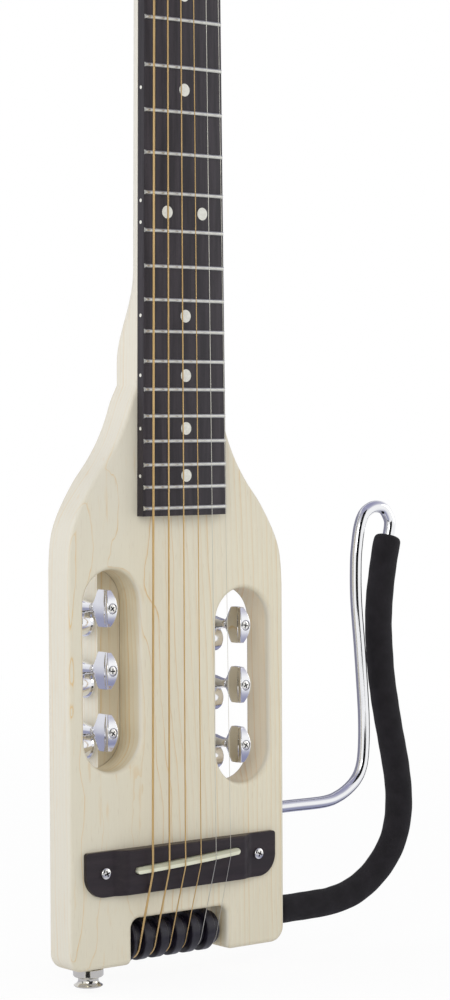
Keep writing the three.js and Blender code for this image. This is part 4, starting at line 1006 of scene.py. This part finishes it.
# Cross-head screws hold the bridge's wings, the string anchor and the tuner buttons: domed heads,
# cold-formed with a cross recess and plated.
def cross_screw(name, place, head, rise, shank, length, turn):
    """A round-head screw with its seat at place, head towards -y, and its cross turned by turn degrees."""
    dome = [(head * sin(a), -rise * (0.35 + 0.65 * cos(a))) for a in quarter(8)]
    profile = [*dome, (head, 0), (shank, 0), (shank, length - shank), (0.05, length)]
    screw = turned(name, profile, "y", (0, 0, rest_height), 36)
    arm, wide = head * 0.56, head * 0.13
    bars = []
    for angle in (turn, turn + 90):
        c, s = cos(radians(angle)), sin(radians(angle))
        rings = []
        for y, share in ((-rise - 0.4, 1.15), (-rise * 0.15, 0.5)):
            reach = arm * share
            corners = [(-reach, -wide), (reach, -wide), (reach, wide), (-reach, wide)]
            rings.append([spot(a * c - b * s, y, rest_height + a * s + b * c) for a, b in corners])
        bars.append(skinned("recess_bar", rings))
    carved(screw, bars)
    softened(screw, head * 0.03, 34, 2)
    # Faces inside the cross recess are marked for the painted shade in screw_metal.
    recess = screw.data.attributes.new("recess", "FLOAT", "FACE")
    c, s = cos(radians(turn)), sin(radians(turn))
    for face in screw.data.polygons:
        x, z = face.center.x / mm, face.center.z / mm
        along, over = abs(x * c + z * s), abs(z * c - x * s)
        inside = min(along, over) < wide * 1.02 and max(along, over) < arm * 1.1
        recess.data[face.index].value = float(inside)
    screw.data.transform(Matrix.Translation(place + Vector((0, back_face * mm, 0))))
    return screw


def screw_metal(name, color, rough):
    """Plated screw metal; the cross recess is painted dark, as shade."""
    material, start, place = textured(name)
    wear = place.noise(1.4, 3, 0.6)
    # Painted shade: faces in the cross recess are made near black.
    deep = start.node("ShaderNodeAttribute", {"attribute_name": "recess"}, out="Fac")
    worn = (wear.between(0.4, 0.8) * 0.25).blend(color, [c * 0.6 for c in color])
    start.surface({
        "Base Color": deep.blend(worn, (0.06, 0.056, 0.06)),
        "Metallic": 1.0,
        "Roughness": wear * 0.08 + rough + deep * 0.3,
        "Normal": wear.bump(0.1, 0.00002),
    })
    return material


nickel_plate = screw_metal("nickel_plate", (0.86, 0.85, 0.82), 0.20)
bridge_screw_x, bridge_screw_z, screw_stand = 48.5, -3.3, 0.2
for side, turn in (("bass", 20), ("treble", 62)):
    seat = spot(side_of[side] * bridge_screw_x, plate_front - bridge_wing - screw_stand, bridge_screw_z)
    screw = cross_screw(f"bridge_screw_{side}_head", seat, 2.9, 1.6, 1.4, 8, turn)
    dressed(screw, nickel_plate, "instrument", "nickel", f"bridge_screw_{side}")

# String anchor: a blackened steel angle behind the nut, drilled for six strings, whose ball ends
# pull against its wall.
black_steel = metal("black_steel", (0.045, 0.045, 0.05), 0.42, 0.25, 0.25, (1.2, 1.2, 1.2), 0.75)
anchor_z, anchor_long, anchor_wall, anchor_half = 637.65, 14, 3.4, 20.5
anchor_screw_x, anchor_screw_z = 14.6, anchor_z + 8.7


def box_piece(name, low, high):
    corners = ((low[0], low[1]), (high[0], low[1]), (high[0], high[1]), (low[0], high[1]))
    return skinned(name, [[spot(x, y, z) for x, y in corners] for z in (low[2], high[2])])


plate_corner = (anchor_half, board_back, anchor_z + anchor_long)
anchor = box_piece("string_anchor_plate", (-anchor_half, 2.8, anchor_z), plate_corner)
wall = box_piece("anchor_wall", (-anchor_half, -2.4, anchor_z), (anchor_half, 4, anchor_z + anchor_wall))
carved(anchor, [wall], "UNION")
anchor_holes = []
string_hole = [(1.25, anchor_z - 1), (1.25, anchor_z + 5)]
screw_hole = [(1.7, 0), (1.7, 8)]
for x in (string_x(i, nut_pitch) for i in range(6)):
    anchor_holes.append(turned("hole", string_hole, "z", (x, nut_y(x) + 1.425, 0), 20))
for s in side_of.values():
    anchor_holes.append(turned("hole", screw_hole, "y", (s * anchor_screw_x, 0, anchor_screw_z), 24))
carved(anchor, anchor_holes)
softened(anchor, 0.35)
dressed(anchor, black_steel, "instrument", "black_steel", "string_anchor")
blackened_screw = screw_metal("blackened_screw", (0.06, 0.06, 0.065), 0.3)
for side, turn in (("bass", 35), ("treble", 10)):
    seat = spot(side_of[side] * anchor_screw_x, 2.6, anchor_screw_z)
    screw = cross_screw(f"anchor_screw_{side}_head", seat, 2.2, 1.6, 1.4, 8, turn)
    dressed(screw, blackened_screw, "instrument", "black_steel", f"anchor_screw_{side}")

# Tail rollers: six glossy black nylon pulleys side by side on one ground steel axle; each string
# turns round its own on the way to the back.
repaint("roller_axle", metal("axle_steel", (0.6, 0.6, 0.61), 0.25, 0.2, 0.2, (0.05, 3, 3)))
roller_nylon, start, place = textured("roller_nylon")
wear = place.noise(0.35, 4, 0.6)
lathe_lines = place.scaled(3.5, 0.2, 0.2).noise(1, 2, 0.5)
start.surface({
    "Base Color": wear.between(0.3, 0.8).blend((0.0070, 0.0058, 0.0105), (0.0165, 0.0138, 0.0245)),
    "Roughness": wear * 0.1 + 0.3,
    "Normal": lathe_lines.bump(0.05, 0.00004),
    "Specular IOR Level": 0.45,
})
hub_radius, hub_half, flange_radius, flange_round = 8.5, 2.25, 11.0, 0.6
roller_width, rollers_end = 9.5, -28.83


def roller_profile(x):
    """Hub for the string, with a flange on its bass side that fills the room up to the next hub."""
    step, hub_end = x - hub_half, x + hub_half
    first = max(hub_end - roller_width, rollers_end)
    shelf = flange_radius - flange_round
    low = [(shelf + flange_round * sin(a), first + flange_round * (1 - cos(a))) for a in quarter(5)]
    high = [(shelf + flange_round * cos(a), step - flange_round * (1 - sin(a))) for a in quarter(5)]
    hub = [
        (hub_radius + 0.3, step + 0.02), (hub_radius + 0.08, step + 0.1), (hub_radius, step + 0.3),
        (hub_radius, hub_end - 0.25), (hub_radius - 0.25, hub_end),
    ]
    return [(axle_bore, first), *low, *high, *hub, (axle_bore, hub_end)]


def ring_turned(name, profile, axis, centre, sides=72):
    """A turned piece with a bore: its profile closes on itself."""
    piece = turned(name, profile, axis, centre, sides)
    shape = bmesh.new()
    shape.from_mesh(piece.data)
    caps = [f for f in shape.faces if len(f.verts) > 4]
    edges = [e for f in caps for e in f.edges]
    bmesh.ops.delete(shape, geom=caps, context="FACES_ONLY")
    bmesh.ops.bridge_loops(shape, edges=edges)
    bmesh.ops.recalc_face_normals(shape, faces=shape.faces)
    shape.to_mesh(piece.data)
    shape.free()
    return piece


for i in range(6):
    profile = roller_profile(string_x(i, bridge_pitch))
    roller = softened(ring_turned(f"roller_{i + 1}", profile, "x", (0, roller_y, roller_z)))
    dressed(roller, roller_nylon, f"roller_{i + 1}", "black_plastic", f"tail_roller_{i + 1}")

# Tuners: die-cast housings screwed to the block's sides. A worm turns the geared post inside, and
# everything is chromed; the button's face is held by a small cross-head screw.
mirror_chrome = metal("mirror_chrome", (0.90, 0.905, 0.93), 0.085, 0.02, 0.06, (0.8, 0.8, 0.8))
key_out = 42.2
post_radius, post_hole_x, shaft_bore = 2.8, 20.7, 1.7


def on_shaft(name, side, profile, sides):
    """A turned shape on the tuner shaft's line, for a key at the middle of the frame."""
    return turned(name, profile, "y", (side_of[side] * key_out, 0, rest_height), sides)


def on_post(name, side, profile, sides, z=rest_height, back=0.0):
    """A turned shape on the post's line, its places counted outwards from the middle of the body."""
    outwards = [(radius, side_of[side] * out) for radius, out in profile]
    return turned(name, outwards, "x", (0, tuner_post_y + back, z), sides)


def housing_shape(side):
    gear_z = rest_height - post_drop
    wall, ear = block_half, 11.5
    base_loop = [*arc(0, gear_z, 7.4, 70, 290, 30), *arc(ear, gear_z, 3.2, -80, 80, 14)]
    flats = (side_of[side] * wall, side_of[side] * (wall + 1.4))
    base = skinned("housing_base", [[spot(x, tuner_post_y + a, b) for a, b in base_loop] for x in flats])
    cup_profile = [(6.6, wall), (6.6, wall + 6.9), (6.1, wall + 7.8), (5.2, wall + 8.2)]
    carved(base, [on_post("cup", side, cup_profile, 56, gear_z)], "UNION")
    barrel_profile = [
        (2.2, 20.8), (2.35, 21.0), (2.42, 22.8), (2.62, 24.4), (2.95, 26.4), (3.35, 28.4), (3.7, 30.4),
        (3.7, 37.6), (3.3, 38.8), (2.2, 39.4),
    ]
    carved(base, [on_shaft("barrel", side, barrel_profile, 48)], "UNION")
    carved(base, [
        on_post("cavity", side, [(5.6, wall - 1), (5.6, wall + 7.3)], 40, gear_z),
        on_shaft("worm_room", side, [(2.9, 28), (2.9, 38)], 32),
        on_shaft("shaft_bore", side, [(shaft_bore, 18), (shaft_bore, 34)], 24),
        on_post("ear_hole", side, [(1.3, wall - 1), (1.3, wall + 2.4)], 20, gear_z, ear),
    ])
    return softened(base, 0.22)


def post_shape(side):
    profile = [
        (1.6, 16.0), (2.9, 16.05), (3.25, 16.4), (3.3, 17.0), (3.1, 17.6), (2.85, 18.6), (post_radius, 19.4),
        (post_radius, 26.1), (3.1, 26.2), (3.1, 39.4), (5.2, 39.4), (5.2, 44.1), (1.2, 44.1),
    ]
    post = on_post("post", side, profile, 48)
    hole_place = (side_of[side] * post_hole_x, 0, rest_height)
    string_hole = turned("string_hole", [(0.85, 26), (0.85, 40)], "y", hole_place, 20)
    carved(post, [string_hole, on_post("end_slot", side, [(0.9, 15), (0.9, 17.2)], 20)])
    return softened(post, 0.12)


def button_shape(side):
    """A lens-shaped button: tapered to its shaft, with flat ends and a domed face."""
    half_width, half_thick, rim, dome = 9.3, 3.28, 1.15, 2.8
    face_y, face_round = 7.75, 0.55
    shares = [-1 + k / 9 for k in range(19)]

    def lens(wide, thick, y, inset=0.0):
        bend = dome * min(max((14 - y) / 6.4, 0), 1)
        ring = []
        for face, row in ((1, shares), (-1, shares[::-1])):
            for share in row:
                bulge = 1 - share * share
                out = (rim + (half_thick - rim) * bulge) * thick - inset
                along = share * (half_width * wide - inset)
                ring.append(spot(side_of[side] * key_out + face * out, y - bend * bulge, rest_height + along))
        return ring

    stations = [
        (19.4, 0.34, 0.55), (19.3, 0.38, 0.60), (19.0, 0.42, 0.635), (17.2, 0.70, 0.80), (15.8, 0.915, 0.93),
        (15.3, 0.975, 0.965), (14.8, 0.995, 0.985), (14.2, 1, 1), (12.5, 1, 1), (10.8, 1, 1), (9.6, 0.995, 1),
    ]
    groove = ((9.25, 0), (9.15, 0.3), (8.8, 0.3), (8.7, 0), (face_y, 0))
    rings = [lens(wide, thick, y) for y, wide, thick in stations]
    rings += [lens(0.99, 1, y, inset) for y, inset in groove]
    for a in quarter(5)[1:]:
        rings.append(lens(0.99, 1, face_y - face_round * sin(a), face_round * (1 - cos(a))))
    button = skinned("button", rings, True)
    seat = on_shaft("screw_seat", side, [(2.75, -4), (2.75, 5.6)], 36)
    carved(button, [seat, on_shaft("shaft_room", side, [(shaft_bore, 14), (shaft_bore, 24)], 24)])
    return softened(button, 0.07, 38, 2)


def washer_shape(side):
    """A polished spring washer that fills the room between the button and the housing's nose."""
    profile = [
        (1.65, 19.5), (2.3, 19.55), (2.45, 19.7), (2.45, 20.0), (2.2, 20.1), (2.3, 20.25), (2.35, 20.55),
        (1.65, 20.65),
    ]
    return softened(ring_turned("washer", profile, "y", (side_of[side] * key_out, 0, rest_height), 40))


worm_steel = metal("worm_steel", (0.62, 0.62, 0.63), 0.2, 0.15, 0.2, (2, 0.2, 2))
tuner_kit = [
    (housing_shape, 0.0, "tuner_cover", "instrument", "tuner_housing"),
    (post_shape, post_drop, "string_post", "post_{}", "tuner_post"),
    (button_shape, 0.0, "key_button", "key_{}", "tuner_button"),
    (washer_shape, 0.0, "key_washer", "key_{}", "tuner_button"),
]
templates = {(shape, side): shape(side) for shape, *_ in tuner_kit for side in side_of}
for n, (side, key_z) in enumerate(tuners, 1):
    for shape, drop, name, body, node in tuner_kit:
        piece = linked(f"{name}_{n}", templates[shape, side].data.copy())
        piece.data.transform(Matrix.Translation((0, 0, (key_z - drop - rest_height) * mm)))
        dressed(piece, mirror_chrome, body.format(n), "chrome", f"{node}_{n}")
    seat = spot(side_of[side] * key_out, 5.5, key_z)
    screw = cross_screw(f"key_screw_{n}", seat, 2.6, 1.1, 0.9, 6, 15 + 37 * n)
    dressed(screw, nickel_plate, f"key_{n}", "nickel", f"button_screw_{n}")
    repaint(f"tuner_shaft_{n}", worm_steel)
for template in templates.values():
    bpy.data.objects.remove(template)


# Strings: phosphor-bronze wound on four and plain steel on two, from the anchor over nut and saddle,
# round the rollers and up to the posts, where each winds on in two turns.
string_room = 0.2
wound_strings = 4
ball_rise = 1.9
nut_run, saddle_run = 4.8, 1.4
wind_start, outer_shift, wind_gap = 19.675, 1.08, 0.65
roller_steps, wind_steps, wind_turns = 40, 48, 2
drawn_share = 0.43


def front_tangent(y, z, radius):
    """Where a line from y, z touches the front of a circle round the rollers' axle."""
    dy, dz = roller_y - y, roller_z - z
    distance = hypot(dy, dz)
    heading, spread = atan2(dz, dy), asin(radius / distance)
    reach = sqrt(distance ** 2 - radius ** 2)
    turns = (heading + spread, heading - spread)
    return min((y + reach * cos(a), z + reach * sin(a)) for a in turns)


def string_route(i):
    wire = string_sizes[i] / 2
    nut_x, x = string_x(i, nut_pitch), string_x(i, bridge_pitch)
    top, z = nut_y(nut_x), saddle_lean * x + saddle_place
    route = [
        (nut_x, top + ball_rise, anchor_z + anchor_wall + 0.4), (nut_x, top + 0.95, anchor_z),
        (nut_x, top - wire, nut_place + nut_run), (nut_x, top - wire, nut_place),
        (x, saddle_y(x), z), (x, saddle_y(x), z - saddle_run),
    ]
    turn = hub_radius + string_room + wire
    leave_y, leave_z = front_tangent(saddle_y(x), z - saddle_run, turn)
    first = atan2(leave_z - roller_z, leave_y - roller_y) + 2 * pi
    for k in range(roller_steps + 1):
        a = first + (2 * pi - first) * k / roller_steps
        route.append((x, roller_y + turn * cos(a), roller_z + turn * sin(a)))
    side, key_z = tuners[i]
    s = side_of[side]
    wind_x = wind_start + (outer_shift if i in (0, 5) else 0)
    radius = post_radius + string_room + wire
    pitch = string_sizes[i] + wind_gap
    for k in range(wind_turns * wind_steps + 1):
        a = 2 * pi * k / wind_steps
        y, z = tuner_post_y - radius * cos(a), key_z - post_drop + radius * sin(a)
        route.append((s * (wind_x + pitch * k / wind_steps), y, z))
    return [spot(*p) for p in route]


def string_rule(start, given):
    length = start.node("GeometryNodeSplineParameter", out="Length")
    kept = start.node(
        "GeometryNodeStoreNamedAttribute", {"data_type": "FLOAT", "domain": "POINT"},
        {"Geometry": given["Geometry"], "Name": "along", "Value": length},
    )
    sizes = {"Resolution": given["Sides"], "Radius": given["Radius"]}
    circle = start.node("GeometryNodeCurvePrimitiveCircle", sockets=sizes)
    sweep = {"Curve": kept, "Profile Curve": circle, "Fill Caps": True}
    return start.node("GeometryNodeCurveToMesh", sockets=sweep)


def string_wire(name, bright, deep, rough, wrap):
    """String wire: the wrap's ridges follow the string's own length."""
    material, start, place = textured(name)
    along = start.node("ShaderNodeAttribute", {"attribute_name": "along"}, out="Fac")
    tarnish = place.scaled(0.4, 0.4, 0.03).noise(1, 3, 0.6)
    toned = tarnish.between(0.3, 0.8).blend(bright, deep)
    sockets = {"Base Color": toned, "Metallic": 1.0, "Roughness": tarnish * 0.15 + rough}
    if wrap:
        # Painted shade: the grooves between the wraps are darker than the ridges.
        ridge = (along * (2 * pi / (wrap * mm))).math("SINE") * 0.5 + 0.5
        sockets["Base Color"] = (ridge * 0.35 + 0.15).blend(deep, toned)
        sockets["Normal"] = ridge.bump(0.5, wrap * mm * 0.3)
    start.surface(sockets)
    return material


half_ball = [(0.8, 1.75), (1.5, 1.7), (1.82, 1.4), (1.6, 0.7)]
for i, size in enumerate(string_sizes):
    n = i + 1
    curve = bpy.data.curves.new(f"string_path_{n}", "CURVE")
    curve.dimensions = "3D"
    route = string_route(i)
    spline = curve.splines.new("POLY")
    spline.points.add(len(route) - 1)
    spline.points.foreach_set("co", [number for place in route for number in (*place, 1)])
    slot = "bronze_wire" if i < wound_strings else "plain_wire"
    if i < wound_strings:
        wire = string_wire(f"{slot}_{n}", (0.92, 0.68, 0.34), (0.62, 0.42, 0.18), 0.3, 0.12 + size * 0.16)
    else:
        wire = string_wire(f"{slot}_{n}", (0.74, 0.72, 0.64), (0.58, 0.57, 0.51), 0.32, 0)
    sizes = {"Sides": 14, "Radius": size * drawn_share * mm, "Material": wire}
    drawn_string = grown(f"string_wire_{n}", linked(f"string_path_{n}", curve), sizes, string_rule)
    drawn_string.data.shade_smooth()
    x = string_x(i, nut_pitch)
    profile = [(r, x - out) for r, out in half_ball]
    profile += [(1.45, x), *((r, x + out) for r, out in half_ball[::-1])]
    place = (0, nut_y(x) + ball_rise, anchor_z + anchor_wall + ball_rise)
    ball = softened(ring_turned(f"ball_end_{n}", profile, "x", place, 32))
    brass = metal(f"ball_brass_{n}", (0.70, 0.52, 0.24), 0.25, 0.15, 0.3, (1, 1, 1))
    dressed(ball, brass, "instrument", "bronze_wire", f"string_{n}")
    dressed(drawn_string, wire, "instrument", slot, f"string_{n}")

# Leg rest: one bent rod of chromed steel, plugged into two sockets in the treble side, with a
# closed-cell foam sleeve slid over its outer run.
leg_upper_shares = [
    (0.395, 0.256), (0.513, 0.2665), (0.603, 0.286), (0.661, 0.308), (0.692, 0.332), (0.708, 0.36),
    (0.7155, 0.402), (0.716, 0.45), (0.7097, 0.505), (0.6855, 0.633), (0.657, 0.762), (0.655, 0.853),
    (0.665, 0.901), (0.685, 0.947), (0.717, 0.977), (0.763, 0.9925), (0.8165, 0.998), (0.876, 0.993),
    (0.913, 0.976), (0.932, 0.955),
]
leg_sleeve_shares = [
    (0.919, 0.923), (0.8953, 0.887), (0.8669, 0.8264), (0.8448, 0.763), (0.8363, 0.6991),
    (0.8424, 0.6351), (0.8565, 0.5712), (0.881, 0.5082), (0.9114, 0.4454), (0.9458, 0.383),
    (0.978, 0.3206), (0.9975, 0.257), (0.9905, 0.1931), (0.9448, 0.1325), (0.8545, 0.0813),
    (0.7359, 0.0414), (0.5983, 0.0147), (0.4495, 0.0026), (0.34, 0.0005), (0.19, 0),
]
leg_reach, leg_height = 88.9, 210.6
rod_radius, foam_radius, foam_room = 3.15, 7.3, 0.15
end_plain, ripple_steps = 4, 150


def leg_place(share):
    return (body_half + share[0] * leg_reach, leg_y, share[1] * leg_height + lower_socket)


def tube(name, line, radii, sides):
    """A tube along a line in the leg rest's plane, with its own radius at each place."""
    rings = []
    for i, here in enumerate(line):
        ahead = line[min(i + 1, len(line) - 1)] - line[max(i - 1, 0)]
        across, up = Vector((ahead.z, 0, -ahead.x)).normalized(), Vector((0, 1, 0))
        turns = [2 * pi * k / sides for k in range(sides)]
        rings.append([spot(*(here + (across * cos(a) + up * sin(a)) * radii[i])) for a in turns])
    return skinned(name, rings)


rod_end = 43.2
leg_start = [(x, leg_y, upper_socket) for x in (rod_end, 60, 80)]
leg_finish = [(x, leg_y, lower_socket) for x in (60, rod_end)]
leg_bends = [leg_place(p) for p in leg_upper_shares + leg_sleeve_shares]
leg_line = smooth_line([*leg_start, *leg_bends, *leg_finish], 14)
rod_chrome = metal("rod_chrome", (0.88, 0.885, 0.90), 0.085, 0.012, 0.05, (0.6, 0.6, 0.6))
leg_rod = tube("leg_rod", leg_line, [rod_radius] * len(leg_line), 56)
softened(leg_rod, 0.3)
dressed(leg_rod, rod_chrome, "leg_rest", "chrome", "leg_rest_rod")

sleeve_bends = [leg_place(p) for p in leg_sleeve_shares]
sleeve_line = smooth_line([*sleeve_bends, (body_half + 0.5, leg_y, lower_socket)], 12)
lengths = [0.0]
for a, b in zip(sleeve_line, sleeve_line[1:]):
    lengths.append(lengths[-1] + (b - a).length)
end_lead = [(0.0, 3.6), (0.15, 4.7), (0.5, 5.7), (1.1, 6.5), (1.9, 7.0), (2.9, 7.27)]


def on_line(distance):
    for a, b, low, high in zip(sleeve_line, sleeve_line[1:], lengths, lengths[1:]):
        if distance <= high:
            return a.lerp(b, (distance - low) / (high - low))
    return sleeve_line[-1]


total = lengths[-1]
sleeve_form = list(end_lead)
for k in range(ripple_steps + 1):
    ripple = 0.05 * sin(k * 0.9) + 0.04 * sin(k * 0.37 + 1)
    sleeve_form.append((end_plain + (total - 2 * end_plain) * k / ripple_steps, foam_radius + ripple))
sleeve_form += [(total - distance, radius) for distance, radius in end_lead[::-1]]
closed_cell_foam, start, place = textured("closed_cell_foam")
cells = start.node("ShaderNodeTexVoronoi", {"feature": "F1"}, {"Vector": place, "Scale": 2.2}, out="Distance")
skin = place.noise(0.12, 4, 0.6)
pits = place.noise(2.6, 3, 0.7)
foam_tone = skin.between(0.3, 0.75) * 0.7 + pits * 0.3
start.surface({
    "Base Color": foam_tone.blend((0.0078, 0.0066, 0.0080), (0.0165, 0.0142, 0.0175)),
    "Roughness": pits * 0.12 + 0.8,
    "Normal": (cells * 0.7 + pits * 0.6).bump(0.6, 0.00025),
    "Sheen Weight": 0.03,
    "Sheen Roughness": 0.6,
    "Specular IOR Level": 0.2,
})
foam_line = [on_line(distance) for distance, _ in sleeve_form]
foam_sleeve = tube("foam_sleeve", foam_line, [radius for _, radius in sleeve_form], 48)
carved(foam_sleeve, [tube("foam_bore", leg_line, [rod_radius + foam_room] * len(leg_line), 28)])
softened(foam_sleeve)
dressed(foam_sleeve, closed_cell_foam, "leg_rest", "foam", "leg_rest_sleeve")

# End-pin jack: a nickel-plated brass barrel in the tail that takes the plug and, round its waist,
# the strap.
plug_radius = 3.2
jack_profile = [
    (plug_radius, -60.5), (3.5, -60.75), (5.4, -60.8), (6.7, -60.55), (7.25, -60.1), (7.3, -59.85),
    (7.0, -59.6), (6.2, -59.2), (5.55, -58.6), (5.2, -57.8), (5.1, -56.9), (5.2, -56.3), (5.6, -55.8),
    (7.1, -55.5), (7.6, -54.9), (7.65, -51.8), (7.4, -51.5), (5.6, -51.45), (5.6, -21.4), (5.5, -21.35),
]
end_jack = turned("end_jack", jack_profile, "z", (jack_x, leg_y, 0), 64)
plug_profile = [(plug_radius, -70), (plug_radius, -26), (0.2, -25)]
carved(end_jack, [turned("plug_room", plug_profile, "z", (jack_x, leg_y, 0), 40)])
softened(end_jack, 0.1, 40, 2)
jack_nickel = metal("jack_nickel", (0.76, 0.735, 0.66), 0.14, 0.18, 0.2, (0.2, 0.2, 4))
dressed(end_jack, jack_nickel, "instrument", "nickel", "end_pin_jack")
